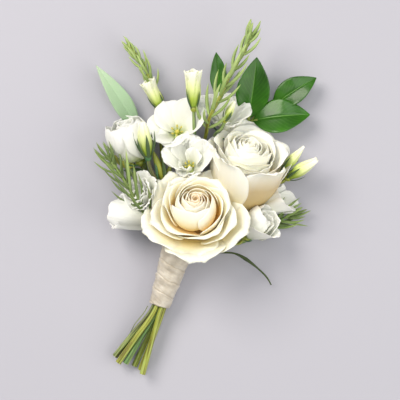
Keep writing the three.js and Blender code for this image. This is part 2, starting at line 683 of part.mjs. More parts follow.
const tallRosemary = rosemary({
  path: [...handleRun(slots.tallRosemary), [-2.6, 13.4, 9.6, 1], [-1.4, 20.6, 4.8, 0.9], [3.4, 30.6, 1.9, 0.9],
    [10, 43.6, 2.2, 0.9], [13, 52.6, 11, 0.8], [14.6, 60, 19.4, 0.75], [19.4, 70, 22, 0.7], [25.4, 82, 23.4, 0.65],
    [31, 92, 24.6, 0.6], [33.4, 98, 25.2, 0.45]],
  from: 10.2, pairs: 9, length: 12, seed: 11,
});
const topLeftRosemary = rosemary({
  path: [...tuckedIn(258), [-2, 16, 3, 0.6], [-5.6, 34, 1.9, 0.75], [-7.4, 52, 2, 0.7], [-9.4, 66, 3.6, 0.65],
    [-11.4, 77, 8, 0.6], [-16.4, 86.6, 10.4, 0.55], [-21.6, 93.4, 11.6, 0.45]],
  from: 6.7, pairs: 5, length: 9.5, width: 1.4, open: [32, 20], seed: 5,
});
const leftRosemary = rosemary({
  path: [...tuckedIn(172), [-8.6, 11.6, 14, 0.7], [-13.4, 17.4, 17.4, 0.75], [-18.2, 25, 18.6, 0.7],
    [-23.4, 33.4, 17.6, 0.65], [-28, 40, 16.4, 0.6], [-30, 43, 16, 0.45]],
  from: 3.9, pairs: 9, length: 13, seed: 23,
});
const rightRosemary = rosemary({
  path: [...tuckedIn(-42), [14, 5, 3, 0.6], [29, 5, 2, 0.7], [40, 11, 3.4, 0.65], [47, 15.4, 5.6, 0.6],
    [51.6, 17.6, 6.8, 0.45]],
  from: 5.5, pairs: 4, length: 10, width: 1.4, open: [40, 20], seed: 41,
});

// A grass blade arches out on the right, with a small swelling on the way.
const grassBlade = (grow) => stem([...tuckedIn(14), [12, 1.6, 10.8, 0.42], [19, 0.8, 10.6, 0.42], [26, 0.3, 10, 0.42],
  [31, -2.2, 9.2, 0.85], [36.4, -6.4, 7.4, 0.42], [40.6, -10.6, 5.4, 0.42], [42.6, -14, 4, 0.34]],
  { grow });

const frontRoseStem = roseStem("frontRose", frontRose, [[4.6, 6.2, 12.2, 1.1]], roseCalyx);
const backRoseStem = roseStem("backRose", backRose, [[4.6, 9, 8, 1.1], [12, 16.6, 5.6, 1.1], [20, 22.6, 4.8, 1.2]],
  { ...roseCalyx, start: 55 });

const leftSpray = spray("leftSpray", [[-4.2, 10, 9, 1], [-8.4, 20, 6.2, 1], [-10.6, 30, 5.6, 0.9]], [
  { flower: lisianthus.leftBloom, from: [[-10, 27, 5.8, 0.9], [-11.4, 33, 5.4, 0.9]],
    options: { foot: 2.2, length: 11, open: 50 } },
  { flower: lisianthus.smallLeftBloom, from: [[-6.4, 14, 7.4, 0.8], [-7.4, 20, 6.6, 0.8]], options: bloomCalyx },
  { flower: lisianthus.lowerLeftBloom, from: [[-3.6, 7, 8.8, 0.8], [-2.6, 11, 8.2, 0.8]], options: bloomCalyx },
  { flower: buds.middleLeftBud, from: [[-7.6, 18, 6.6, 0.9], [-6.6, 25, 8.4, 0.8], [-8, 31, 15, 0.8]],
    options: budCalyx },
]);
const topSpray = spray("topSpray", [[1.6, 12, 5.8, 1], [3.4, 25, 5.6, 1], [3.4, 38, 5.2, 0.9]], [
  { flower: lisianthus.middleBloom, from: [[3.4, 23, 5.7, 0.8], [5, 28, 5.2, 0.8]], options: bloomCalyx },
  { flower: lisianthus.topBloom, from: [[3.4, 36, 5.2, 0.8], [3, 42, 5.2, 0.8]], options: bloomCalyx },
  { flower: lisianthus.upperRightBloom, from: [[3.4, 34, 5.4, 0.8], [10, 39.4, 5.8, 0.8], [17, 46, 3.6, 0.8]],
    options: bloomCalyx },
  { flower: buds.leftTopBud, from: [[3.3, 36, 5.2, 0.8], [-1.6, 48, 3.4, 0.8], [-4.2, 57, 4.8, 0.8]],
    options: budCalyx },
  { flower: buds.tallBud, from: [[3.4, 37, 5.2, 0.8], [6.6, 45, 4.6, 0.8], [8.2, 50, 8.4, 0.8],
    [8.2, 53, 14.6, 0.8], [8, 55.6, 18.2, 0.8]], options: budCalyx },
  { flower: buds.tuckedBud, from: [[10, 39.4, 5.8, 0.8], [15.8, 48.6, 6, 0.8], [17.6, 54, 14, 0.7]],
    options: { ...budCalyx, foot: 1.2, length: 6 } },
]);
const rightSpray = spray("rightSpray", [[5.4, 6, 8.6, 1], [11.6, 6, 6, 1], [19, 5.6, 5.8, 1], [27, 10, 4.4, 0.9]], [
  { flower: lisianthus.rightBloom, from: [[18, 5.8, 5.8, 0.8], [24, 5, 6.4, 0.8]], options: bloomCalyx },
  { flower: lisianthus.rearRightBloom, from: [[26, 9, 4.6, 0.8], [30, 16.4, 4, 0.8]], options: bloomCalyx },
  { flower: buds.rightUpperBud, from: [[26, 9, 4.6, 0.8], [31, 18.6, 3, 0.8], [36, 27, 1.6, 0.8], [41, 34, 4, 0.8]],
    options: { ...budCalyx, foot: 1.4 } },
  { flower: buds.rightLowerBud, from: [[41, 34, 4, 0.8], [43.6, 33, 7, 0.8]], options: budCalyx },
]);

// The green eye of an open lisianthus: a stout pistil with its stamens round it.
function pistil(flower, size) {
  return (grow) => {
    const body = turned([[0, 5.1 - grow], [0.9 * size + grow, 5.1 - grow], [1.3 * size + grow, 6],
      [0.7 * size + grow, 7.2], [0, 7.6 + grow]], 8);
    const parts = [body];
    for (let i = 0; i < 4; i++) {
      const turn = rad(i * 90 + 30);
      const out = vec(Math.cos(turn), Math.sin(turn), 0);
      const root = out.clone().multiplyScalar(0.5).setZ(5.6);
      const tip = out.clone().multiplyScalar(2.6 * size).setZ(8);
      parts.push(needle(root, tip, out.clone().multiplyScalar(0.3), 0.9, 0.8, grow));
    }
    return placed(join(parts), flowerFrame(flower));
  };
}

// Assembly. A later piece gives way where it would come nearer than the clearance to an earlier one.

const finish = {
  ivory: { color: 0xf6ecd6, roughness: 0.62 },
  white: { color: 0xf7f6ef, roughness: 0.6 },
  budWhite: { color: 0xe9efc4, roughness: 0.55 },
  pistilGreen: { color: 0xb3b53a, roughness: 0.6 },
  stemGreen: { color: 0x6d8f3d, roughness: 0.5 },
  rosemaryGreen: { color: 0x7f9a5b, roughness: 0.65 },
  glossyGreen: { color: 0x2f7a1f, roughness: 0.25 },
  paleGreen: { color: 0xa9cf9e, roughness: 0.55 },
  grassGreen: { color: 0x3f5230, roughness: 0.6 },
  tapeGreen: { color: 0x7f9362, roughness: 0.8 },
  ribbonCream: { color: 0xf3eadb, roughness: 0.5 },
};

const pieces = [
  ["ribbonWrap", "ribbonCream", ribbonWrap],
  ["floralTape", "tapeGreen", floralTape],
  ["frontRosePetals", "ivory", (grow) => bloom(frontRose, grow)],
  ["backRosePetals", "ivory", (grow) => bloom(backRose, grow)],
  ["frontRoseStem", "stemGreen", frontRoseStem],
  ["backRoseStem", "stemGreen", backRoseStem],
  ...Object.entries(buds).map(([name, shape]) => [name, "budWhite", (grow) => bud(shape, grow)]),
  ["tallRosemary", "rosemaryGreen", tallRosemary],
  ["leftRosemary", "rosemaryGreen", leftRosemary],
  ...Object.entries(lisianthus).map(([name, shape]) => [name, "white", (grow) => bloom(shape, grow)]),
  ["topPistil", "pistilGreen", pistil(lisianthus.topBloom, 1)],
  ["middlePistil", "pistilGreen", pistil(lisianthus.middleBloom, 0.8)],
  ["leafBranch", "glossyGreen", leafBranch],
  ["leftSpray", "stemGreen", leftSpray],
  ["topSpray", "stemGreen", topSpray],
  ["rightSpray", "stemGreen", rightSpray],
  ["topLeftRosemary", "rosemaryGreen", topLeftRosemary],
  ["rightRosemary", "rosemaryGreen", rightRosemary],
  ["paleLeaf", "paleGreen", paleLeaf],
  ["grassBlade", "grassGreen", grassBlade],
];

const table = solidOf(new THREE.BoxGeometry(400, 400, 60).translate(0, 0, -30));
const arrangement = new THREE.Group();
arrangement.rotation.z = rad(handleLean);
const boxesMeet = (a, b) => a.min.every((m, i) => m < b.max[i]) && b.min.every((m, i) => m < a.max[i]);
const rooms = [];
for (const [name, colour, make] of pieces) {
  let solid = smoothed(make(0), smoothing).subtract(table);
  for (const room of rooms)
    if (boxesMeet(solid.boundingBox(), room.boundingBox())) solid = solid.subtract(room);
  solid = tidied(mainBody(solid));
  rooms.push(smoothed(make(clearance), smoothing));
  const { vertProperties, triVerts, numProp } = solid.getMesh();
  const points = new Float32Array((vertProperties.length / numProp) * 3);
  for (let i = 0; i < points.length / 3; i++)
    points.set(vertProperties.subarray(i * numProp, i * numProp + 3), i * 3);
  const geometry = new THREE.BufferGeometry();
  geometry.setAttribute("position", new THREE.BufferAttribute(points, 3));
  geometry.setIndex(new THREE.BufferAttribute(new Uint32Array(triVerts), 1));
  geometry.computeVertexNormals();
  const mesh = new THREE.Mesh(geometry, new THREE.MeshStandardMaterial({ ...finish[colour], metalness: 0 }));
  mesh.name = name;
  arrangement.add(mesh);
}

const boutonniere = new THREE.Group();
arrangement.position.set(centreShift[0], centreShift[1], 0);
boutonniere.add(arrangement);

export default boutonniere;
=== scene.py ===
import math
import random
import bpy
import numpy as np
from mathutils import Matrix, Vector


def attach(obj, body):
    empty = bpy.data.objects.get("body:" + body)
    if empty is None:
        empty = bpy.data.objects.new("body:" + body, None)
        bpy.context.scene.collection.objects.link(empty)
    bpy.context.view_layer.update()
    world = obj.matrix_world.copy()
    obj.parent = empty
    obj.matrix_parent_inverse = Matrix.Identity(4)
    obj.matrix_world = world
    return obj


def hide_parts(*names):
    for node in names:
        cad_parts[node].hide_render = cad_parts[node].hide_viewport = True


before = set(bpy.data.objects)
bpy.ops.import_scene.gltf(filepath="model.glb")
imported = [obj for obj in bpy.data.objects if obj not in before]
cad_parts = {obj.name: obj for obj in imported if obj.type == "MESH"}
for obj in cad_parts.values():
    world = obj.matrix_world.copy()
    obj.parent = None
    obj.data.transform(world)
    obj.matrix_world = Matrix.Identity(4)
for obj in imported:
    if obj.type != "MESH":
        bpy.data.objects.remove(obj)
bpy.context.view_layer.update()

scene = bpy.context.scene
print("frame loaded:", len(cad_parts), "CAD nodes")

# Everything is laid out in millimetres as the picture shows it: x to the right, y up the picture, z off the
# table, the tie at the origin. toFrame turns the handle onto the Y axis and makes metres.
layout = {
    "lean": 18.5,             # degrees the handle leans from upright in the picture
    "shift": (6.05, -25.70),  # mm from the tie to the middle of the box
    "tieHeight": 10,
    "slope": 6.2,             # degrees the handle falls towards the cut ends
    "wrapLength": 24,
    "aboveTie": 5,
}


def toFrame(points):
    points = np.asarray(points, float)
    lean = math.radians(layout["lean"])
    x, y, z = points[..., 0], points[..., 1], points[..., 2]
    turnedX = x * math.cos(lean) - y * math.sin(lean) + layout["shift"][0]
    turnedY = x * math.sin(lean) + y * math.cos(lean) + layout["shift"][1]
    return np.stack([turnedX, turnedY, z], -1) * 0.001


def hexColour(code, alpha=1.0):
    channels = [int(code[i:i + 2], 16) / 255 for i in (1, 3, 5)]
    return [c / 12.92 if c <= 0.04045 else ((c + 0.055) / 1.055) ** 2.4 for c in channels] + [alpha]


def addNode(tree, kind, inputs=None, output=0, stops=(), **settings):
    node = tree.nodes.new(kind)
    for name, value in settings.items():
        setattr(node, name, value)
    for key, value in (inputs or {}).items():
        if isinstance(value, bpy.types.NodeSocket):
            tree.links.new(value, node.inputs[key])
        else:
            node.inputs[key].default_value = value
    for i, (place, code) in enumerate(stops):
        elements = node.color_ramp.elements
        element = elements[-(i == len(stops) - 1)] if i in (0, len(stops) - 1) else elements.new(place)
        element.position, element.color = place, hexColour(code)
    return node.outputs[output]


# Camera and light

camera = {
    "frameWidth": 0.176,       # m that the picture's 400 pixels span at the height of the blooms
    "aim": (0.01056, 0.0242),  # m from the tie to the picture's middle, before the lean
    "aimHeight": 0.025,
    "distance": 0.9,
    "lens": 85,
}
softboxes = {  # watts, m across, m from the blooms in the picture's axes, colour
    "keySoftbox": (9.0, 0.6, (-0.5, 0.45, 0.75), "#FFF8EE"),
    "fillSoftbox": (5.2, 0.9, (0.7, -0.2, 0.62), "#FFFBF2"),
    "overheadSoftbox": (4.8, 0.8, (0.1, 0.2, 1.4), "#FFFFFF"),
}
backdrop = {
    "sky": "#F1F0EE", "skyStrength": 0.42,
    "floor": "#B4B4BE", "floorRoughness": 0.9, "floorSpecular": 0.1,
    "floorHalf": 3, "floorDrop": 0.0002,  # m across by half, and m below the table's height
}


def buildCamera():
    data = bpy.data.cameras.new("pictureCamera")
    data.sensor_fit = "HORIZONTAL"
    data.sensor_width = camera["frameWidth"] / camera["distance"] * camera["lens"]
    data.lens = camera["lens"]
    data.clip_start = 0.01
    shape = bpy.data.objects.new("pictureCamera", data)
    scene.collection.objects.link(shape)
    aim = toFrame([[camera["aim"][0] * 1000, camera["aim"][1] * 1000, camera["aimHeight"] * 1000]])[0]
    shape.location = (aim[0], aim[1], camera["aimHeight"] + camera["distance"])
    shape.rotation_euler = (0, 0, math.radians(layout["lean"]))
    scene.camera = shape
    return aim


def buildLight(name, aim):
    power, size, place, colour = softboxes[name]
    data = bpy.data.lights.new(name, "AREA")
    data.shape = "DISK"
    data.size = size
    data.energy = power
    data.color = hexColour(colour)[:3]
    lamp = bpy.data.objects.new(name, data)
    scene.collection.objects.link(lamp)
    turn = Matrix.Rotation(math.radians(layout["lean"]), 3, "Z")
    lamp.location = Vector(aim) + turn @ Vector(place)
    lamp.rotation_euler = (Vector(aim) - lamp.location).to_track_quat("-Z", "Y").to_euler()


def buildFloor():
    mesh = bpy.data.meshes.new("paleFloor")
    half = backdrop["floorHalf"]
    corners = [(-half, -half, 0), (half, -half, 0), (half, half, 0), (-half, half, 0)]
    mesh.from_pydata(corners, [], [(0, 1, 2, 3)])
    floor = bpy.data.objects.new("paleFloor", mesh)
    floor.location = (0, 0, -backdrop["floorDrop"])
    scene.collection.objects.link(floor)
    paint = bpy.data.materials.new("paleBackdrop")
    paint.use_nodes = True
    shader = paint.node_tree.nodes["Principled BSDF"]
    shader.inputs["Base Color"].default_value = hexColour(backdrop["floor"])
    shader.inputs["Roughness"].default_value = backdrop["floorRoughness"]
    shader.inputs["Specular IOR Level"].default_value = backdrop["floorSpecular"]
    mesh.materials.append(paint)


aimPoint = buildCamera()
for softbox in softboxes:
    buildLight(softbox, aimPoint)
buildFloor()
world = bpy.data.worlds.new("studioSky")
world.use_nodes = True
world.node_tree.nodes["Background"].inputs["Color"].default_value = hexColour(backdrop["sky"])
world.node_tree.nodes["Background"].inputs["Strength"].default_value = backdrop["skyStrength"]
scene.world = world
scene.view_settings.view_transform = "Standard"
print("camera, lights and floor ready")


# Materials. Each reads the numbers that its piece's mesh carries: along from foot to tip, across from -1 to
# 1, ring from a flower's heart 0 to its outermost petals 1 and above 1 for whiter ones, dorsal on the outer
# side, tone a tint of its own, crease how much painted shade lies in a bud's seams and hollow, in the
# ribbon's folds and beside its turns' edges and at a rose petal's foot, grown the mm from a stem's start.

mathKind, mixKind, rampKind = "ShaderNodeMath", "ShaderNodeMix", "ShaderNodeValToRGB"
noiseKind, bumpKind, attributeKind = "ShaderNodeTexNoise", "ShaderNodeBump", "ShaderNodeAttribute"


def newMaterial(name, roughness, specular=0.5, **constants):
    material = bpy.data.materials.new(name)
    material.use_nodes = True
    shader = material.node_tree.nodes["Principled BSDF"]
    shader.inputs["Roughness"].default_value = roughness
    shader.inputs["Specular IOR Level"].default_value = specular
    for key, value in constants.items():
        shader.inputs[key.replace("_", " ")].default_value = value
    return material, material.node_tree, shader


# Fresh ivory rose petal: velvety and matt with light glowing through it, apricot in the heart, near white at
# the rims and a little green outside. Towards each petal's foot its own yellow deepens to orange, partly
# painted shade and painted glow of light down between the petals.
def rosePetalMaterial():
    material, tree, shader = newMaterial(
        "ivoryRosePetal", 0.6, 0.2, Subsurface_Weight=0.25, Subsurface_Scale=0.002,
        Subsurface_Radius=(1.0, 0.76, 0.42), Sheen_Weight=0.08, Sheen_Roughness=0.5)
    along, across, ringShare, dorsal, tone, paintedFootShade = (
        addNode(tree, attributeKind, output="Fac", attribute_name=name)
        for name in ("along", "across", "ring", "dorsal", "tone", "crease"))
    place = addNode(tree, "ShaderNodeTexCoord", output="Object")
    patches = addNode(tree, noiseKind, {"Vector": place, "Scale": 160.0, "Detail": 3.0})  # about 6 mm across
    # heart, cupped and spread run from deep orange-yellow at the foot, partly the petal's own yellow and
    # partly painted shade and glow between the petals, to near white at the rim
    heart = addNode(tree, rampKind, {"Fac": along}, stops=[
        (0.0, "#E3A44A"), (0.5, "#F7CC8C"), (0.8, "#FCE0B4"), (1.0, "#FFF0D6")])
    cupped = addNode(tree, rampKind, {"Fac": along}, stops=[
        (0.0, "#E29A30"), (0.5, "#F4B84A"), (0.72, "#FAD58A"), (0.86, "#FBEFCE"), (1.0, "#F9F7EA")])
    spread = addNode(tree, rampKind, {"Fac": along}, stops=[
        (0.0, "#E2B44A"), (0.4, "#F6DC92"), (0.6, "#F9EFC8"), (0.78, "#FAF6E2"), (1.0, "#F8F8EE")])
    outward = addNode(tree, rampKind, {"Fac": along}, stops=[
        (0.0, "#C6BE6C"), (0.35, "#EEDC9C"), (0.6, "#F8EDC6"), (0.8, "#FAF5E0"), (1.0, "#F9F8EC")])
    inHeart = addNode(tree, mathKind, {0: ringShare, 1: 3.4}, operation="MULTIPLY", use_clamp=True)
    inSpread = addNode(tree, mathKind, {0: ringShare, 1: 3.0, 2: -1.7}, operation="MULTIPLY_ADD",
                       use_clamp=True)
    colour = addNode(tree, mixKind, {0: inHeart, 6: heart, 7: cupped}, 2, data_type="RGBA")
    colour = addNode(tree, mixKind, {0: inSpread, 6: colour, 7: spread}, 2, data_type="RGBA")
    outside = addNode(tree, mathKind, {0: dorsal, 1: inHeart}, operation="MULTIPLY")
    colour = addNode(tree, mixKind, {0: outside, 6: colour, 7: outward}, 2, data_type="RGBA")
    whiter = addNode(tree, mathKind, {0: ringShare, 1: 2.5, 2: -2.5}, operation="MULTIPLY_ADD",
                     use_clamp=True)
    upper = addNode(tree, rampKind, {"Fac": along}, stops=[(0.3, "#000000"), (0.75, "#FFFFFF")])
    whiter = addNode(tree, mathKind, {0: whiter, 1: upper}, operation="MULTIPLY")
    colour = addNode(tree, mixKind, {0: whiter, 6: colour, 7: hexColour("#FDFDF5")}, 2, data_type="RGBA")
    greenish = addNode(tree, mathKind, {0: tone, 1: 0.3}, operation="MULTIPLY")
    colour = addNode(tree, mixKind, {0: greenish, 6: colour, 7: hexColour("#EEF0D2")}, 2, data_type="RGBA")
    # painted shade: a rose petal's lower part turns tan by how much crease it carries, standing for the shade
    # under and between the petals
    lower = addNode(tree, rampKind, {"Fac": along}, stops=[(0.6, "#FFFFFF"), (0.96, "#000000")])
    footShadeMask = addNode(tree, mathKind, {0: paintedFootShade, 1: lower}, operation="MULTIPLY")
    colour = addNode(tree, mixKind, {0: footShadeMask, 6: colour, 7: hexColour("#BC9A5A")}, 2, data_type="RGBA")
    blotched = addNode(tree, mathKind, {0: patches, 1: 0.1}, operation="MULTIPLY")
    colour = addNode(tree, mixKind, {0: blotched, 6: colour, 7: hexColour("#EEDDA8")}, 2, data_type="RGBA")
    tree.links.new(colour, shader.inputs["Base Color"])
    # veins fan out from the foot a little under a millimetre apart, drawn coarser than the real ones to show
    wander = addNode(tree, noiseKind, {"Vector": place, "Scale": 260.0})
    wander = addNode(tree, mathKind, {0: wander, 1: 5.0}, operation="MULTIPLY")
    veins = addNode(tree, mathKind, {0: across, 1: 55.0, 2: wander}, operation="MULTIPLY_ADD")
    veins = addNode(tree, mathKind, {0: veins}, operation="SINE")
    velvet = addNode(tree, noiseKind, {"Vector": place, "Scale": 900.0, "Detail": 2.0})
    height = addNode(tree, mathKind, {0: veins, 1: 0.35, 2: velvet}, operation="MULTIPLY_ADD")
    bump = addNode(tree, bumpKind, {"Height": height, "Strength": 0.18, "Distance": 0.0002}, "Normal")
    tree.links.new(bump, shader.inputs["Normal"])
    return material


# Fresh white lisianthus petal: thinner and whiter than the rose's, green at its foot, with soft ribs that
# grey it a little in the folds.
def lisianthusMaterial():
    material, tree, shader = newMaterial(
        "whiteLisianthusPetal", 0.55, 0.25, Subsurface_Weight=0.4, Subsurface_Scale=0.002,
        Subsurface_Radius=(0.9, 0.88, 0.75), Sheen_Weight=0.1, Sheen_Roughness=0.5)
    along, across = (addNode(tree, attributeKind, output="Fac", attribute_name=name)
                     for name in ("along", "across"))
    place = addNode(tree, "ShaderNodeTexCoord", output="Object")
    colour = addNode(tree, rampKind, {"Fac": along}, stops=[
        (0.0, "#9DB348"), (0.18, "#CBD994"), (0.38, "#EEF1DE"), (1.0, "#FAFBF6")])
    patches = addNode(tree, noiseKind, {"Vector": place, "Scale": 220.0, "Detail": 3.0})
    blotched = addNode(tree, mathKind, {0: patches, 1: 0.18}, operation="MULTIPLY")
    colour = addNode(tree, mixKind, {0: blotched, 6: colour, 7: hexColour("#E8EBE4")}, 2, data_type="RGBA")
    tree.links.new(colour, shader.inputs["Base Color"])
    # ribs about a millimetre apart
    wander = addNode(tree, noiseKind, {"Vector": place, "Scale": 240.0})
    wander = addNode(tree, mathKind, {0: wander, 1: 4.0}, operation="MULTIPLY")
    ribs = addNode(tree, mathKind, {0: across, 1: 38.0, 2: wander}, operation="MULTIPLY_ADD")
    ribs = addNode(tree, mathKind, {0: ribs}, operation="SINE")
    velvet = addNode(tree, noiseKind, {"Vector": place, "Scale": 800.0, "Detail": 2.0})
    height = addNode(tree, mathKind, {0: ribs, 1: 0.5, 2: velvet}, operation="MULTIPLY_ADD")
    bump = addNode(tree, bumpKind, {"Height": height, "Strength": 0.22, "Distance": 0.0002}, "Normal")
    tree.links.new(bump, shader.inputs["Normal"])
    return material


# Closed lisianthus bud: furled white petals, yellow-green where they leave the sepals, and a darker
# yellow-green painted shade in the seams where one petal overlaps the next and down an open bud's hollow.
def budMaterial():
    material, tree, shader = newMaterial(
        "furledBud", 0.5, 0.35, Subsurface_Weight=0.35, Subsurface_Scale=0.0015,
        Subsurface_Radius=(0.8, 0.9, 0.5))
    along, crease = (addNode(tree, attributeKind, output="Fac", attribute_name=name)
                     for name in ("along", "crease"))
    place = addNode(tree, "ShaderNodeTexCoord", output="Object")
    colour = addNode(tree, rampKind, {"Fac": along}, stops=[
        (0.0, "#7C9A2A"), (0.25, "#AAC04E"), (0.5, "#D8E29A"), (0.75, "#EEF1CB"), (1.0, "#FAFBEA")])
    # painted shade: crease mixes in a darker yellow-green along the seams and in the hollow
    shaded = addNode(tree, mathKind, {0: crease, 1: 0.65}, operation="MULTIPLY")
    colour = addNode(tree, mixKind, {0: shaded, 6: colour, 7: hexColour("#B4C468")}, 2, data_type="RGBA")
    tree.links.new(colour, shader.inputs["Base Color"])
    velvet = addNode(tree, noiseKind, {"Vector": place, "Scale": 900.0, "Detail": 2.0})
    bump = addNode(tree, bumpKind, {"Height": velvet, "Strength": 0.15, "Distance": 0.0002}, "Normal")
    tree.links.new(bump, shader.inputs["Normal"])
    return material


# Fresh stem: smooth green skin streaked lengthwise with pale yellow-green and brown, pale and moist where it
# is cut. The streaks are partly its own colour and partly painted highlight and painted shade.
def stemMaterial():
    material, tree, shader = newMaterial("freshStem", 0.36, 0.5, Subsurface_Weight=0.12,
                                         Subsurface_Scale=0.001, Subsurface_Radius=(0.5, 0.9, 0.2))
    tone, grown = (addNode(tree, attributeKind, output="Fac", attribute_name=name)
                   for name in ("tone", "grown"))
    skin = addNode(tree, attributeKind, output="Vector", attribute_name="skin")
    place = addNode(tree, "ShaderNodeTexCoord", output="Object")
    rise = addNode(tree, mathKind, {0: grown, 1: 0.04}, operation="MULTIPLY")
    apart = addNode(tree, mathKind, {0: tone, 1: 40.0}, operation="MULTIPLY")
    rise = addNode(tree, "ShaderNodeCombineXYZ", {"X": apart, "Z": rise})
    streaked = addNode(tree, "ShaderNodeVectorMath", {0: skin, 1: rise}, operation="ADD")
    streaks = addNode(tree, noiseKind, {"Vector": streaked, "Scale": 1.3, "Detail": 3.0})
    mottle = addNode(tree, noiseKind, {"Vector": place, "Scale": 320.0, "Detail": 4.0})
    colour = addNode(tree, rampKind, {"Fac": tone}, stops=[
        (0.0, "#4A4A22"), (0.25, "#3C6A46"), (0.5, "#5E8A46"), (0.75, "#8A9838"), (1.0, "#A6A63E")])
    # pale streaks, partly the stem's own and partly a painted highlight
    light = addNode(tree, rampKind, {"Fac": streaks}, stops=[(0.48, "#000000"), (0.6, "#FFFFFF")])
    onStem = addNode(tree, "ShaderNodeVectorMath", {0: skin}, "Value", operation="LENGTH")
    light = addNode(tree, mathKind, {0: light, 1: 0.55}, operation="MULTIPLY")
    light = addNode(tree, mathKind, {0: light, 1: onStem}, operation="MULTIPLY", use_clamp=True)
    colour = addNode(tree, mixKind, {0: light, 6: colour, 7: hexColour("#B7C878")}, 2, data_type="RGBA")
    # dark streaks, partly the stem's own and partly painted shade
    dark = addNode(tree, rampKind, {"Fac": streaks}, stops=[(0.38, "#FFFFFF"), (0.48, "#000000")])
    dark = addNode(tree, mathKind, {0: dark, 1: 0.75}, operation="MULTIPLY")
    dark = addNode(tree, mathKind, {0: dark, 1: onStem}, operation="MULTIPLY", use_clamp=True)
    colour = addNode(tree, mixKind, {0: dark, 6: colour, 7: hexColour("#5A4F22")}, 2, data_type="RGBA")
    cut = addNode(tree, mathKind, {0: grown, 1: 0.02}, operation="LESS_THAN")
    colour = addNode(tree, mixKind, {0: cut, 6: colour, 7: hexColour("#D3DAA4")}, 2, data_type="RGBA")
    tree.links.new(colour, shader.inputs["Base Color"])
    height = addNode(tree, mathKind, {0: streaks, 1: 1.5, 2: mottle}, operation="MULTIPLY_ADD")
    bump = addNode(tree, bumpKind, {"Height": height, "Strength": 0.3, "Distance": 0.0003}, "Normal")
    tree.links.new(bump, shader.inputs["Normal"])
    return material


# Rosemary: leathery needles, grey-green and a little downy, with yellow-green tips.
def rosemaryMaterial():
    material, tree, shader = newMaterial("rosemaryNeedle", 0.5, 0.4, Subsurface_Weight=0.12,
                                         Subsurface_Scale=0.0008, Subsurface_Radius=(0.5, 0.9, 0.3))
    along, tone = (addNode(tree, attributeKind, output="Fac", attribute_name=name)
                   for name in ("along", "tone"))
    place = addNode(tree, "ShaderNodeTexCoord", output="Object")
    colour = addNode(tree, rampKind, {"Fac": tone}, stops=[
        (0.0, "#33481A"), (0.3, "#587030"), (0.6, "#84A052"), (1.0, "#B2C680")])
    tip = addNode(tree, rampKind, {"Fac": along}, stops=[
        (0.0, "#869E50"), (0.5, "#5E7C34"), (1.0, "#AABE68")])
    colour = addNode(tree, mixKind, {0: 0.35, 6: colour, 7: tip}, 2, data_type="RGBA")
    down = addNode(tree, noiseKind, {"Vector": place, "Scale": 500.0, "Detail": 3.0})
    downy = addNode(tree, mathKind, {0: down, 1: 0.16}, operation="MULTIPLY")
    colour = addNode(tree, mixKind, {0: downy, 6: colour, 7: hexColour("#CCD6A8")}, 2, data_type="RGBA")
    tree.links.new(colour, shader.inputs["Base Color"])
    bump = addNode(tree, bumpKind, {"Height": down, "Strength": 0.2, "Distance": 0.0003}, "Normal")
    tree.links.new(bump, shader.inputs["Normal"])
    return material


# Waxy evergreen leaf: dark green polished skin that mirrors the sky in broad patches, paler beneath, with a
# light midrib and side veins.
def glossyLeafMaterial():
    material, tree, shader = newMaterial("waxyLeaf", 0.28, 0.26, Coat_Weight=0.22, Coat_Roughness=0.1)
    along, across, dorsal = (addNode(tree, attributeKind, output="Fac", attribute_name=name)
                             for name in ("along", "across", "dorsal"))
    place = addNode(tree, "ShaderNodeTexCoord", output="Object")
    side = addNode(tree, mathKind, {0: across}, operation="ABSOLUTE")
    rib = addNode(tree, mathKind, {0: side, 1: -16.0, 2: 1.0}, operation="MULTIPLY_ADD", use_clamp=True)
    slant = addNode(tree, mathKind, {0: side, 1: -0.35, 2: along}, operation="MULTIPLY_ADD")
    wander = addNode(tree, noiseKind, {"Vector": place, "Scale": 120.0})
    wander = addNode(tree, mathKind, {0: wander, 1: 3.0}, operation="MULTIPLY")
    veins = addNode(tree, mathKind, {0: slant, 1: 75.0, 2: wander}, operation="MULTIPLY_ADD")
    veins = addNode(tree, mathKind, {0: veins}, operation="SINE")
    veins = addNode(tree, mathKind, {0: veins, 1: 0.82}, operation="SUBTRACT", use_clamp=True)
    patches = addNode(tree, noiseKind, {"Vector": place, "Scale": 90.0, "Detail": 3.0})
    colour = addNode(tree, rampKind, {"Fac": patches}, stops=[
        (0.25, "#1A4404"), (0.55, "#2A6008"), (0.85, "#437F14")])
    veined = addNode(tree, mathKind, {0: veins, 1: 1.6}, operation="MULTIPLY")
    colour = addNode(tree, mixKind, {0: veined, 6: colour, 7: hexColour("#4C8422")}, 2, data_type="RGBA")
    ribbed = addNode(tree, mathKind, {0: rib, 1: 0.6}, operation="MULTIPLY")
    colour = addNode(tree, mixKind, {0: ribbed, 6: colour, 7: hexColour("#6FA24A")}, 2, data_type="RGBA")
    under = addNode(tree, mathKind, {0: 1.0, 1: dorsal}, operation="SUBTRACT")
    under = addNode(tree, mathKind, {0: under, 1: 0.6}, operation="MULTIPLY")
    colour = addNode(tree, mixKind, {0: under, 6: colour, 7: hexColour("#6E9A4E")}, 2, data_type="RGBA")
    tree.links.new(colour, shader.inputs["Base Color"])
    height = addNode(tree, mathKind, {0: veins, 1: 0.6, 2: 0.0}, operation="MULTIPLY_ADD")
    height = addNode(tree, mathKind, {0: rib, 1: -1.2, 2: height}, operation="MULTIPLY_ADD")
    bump = addNode(tree, bumpKind, {"Height": height, "Strength": 0.3, "Distance": 0.0004}, "Normal")
    tree.links.new(bump, shader.inputs["Normal"])
    return material


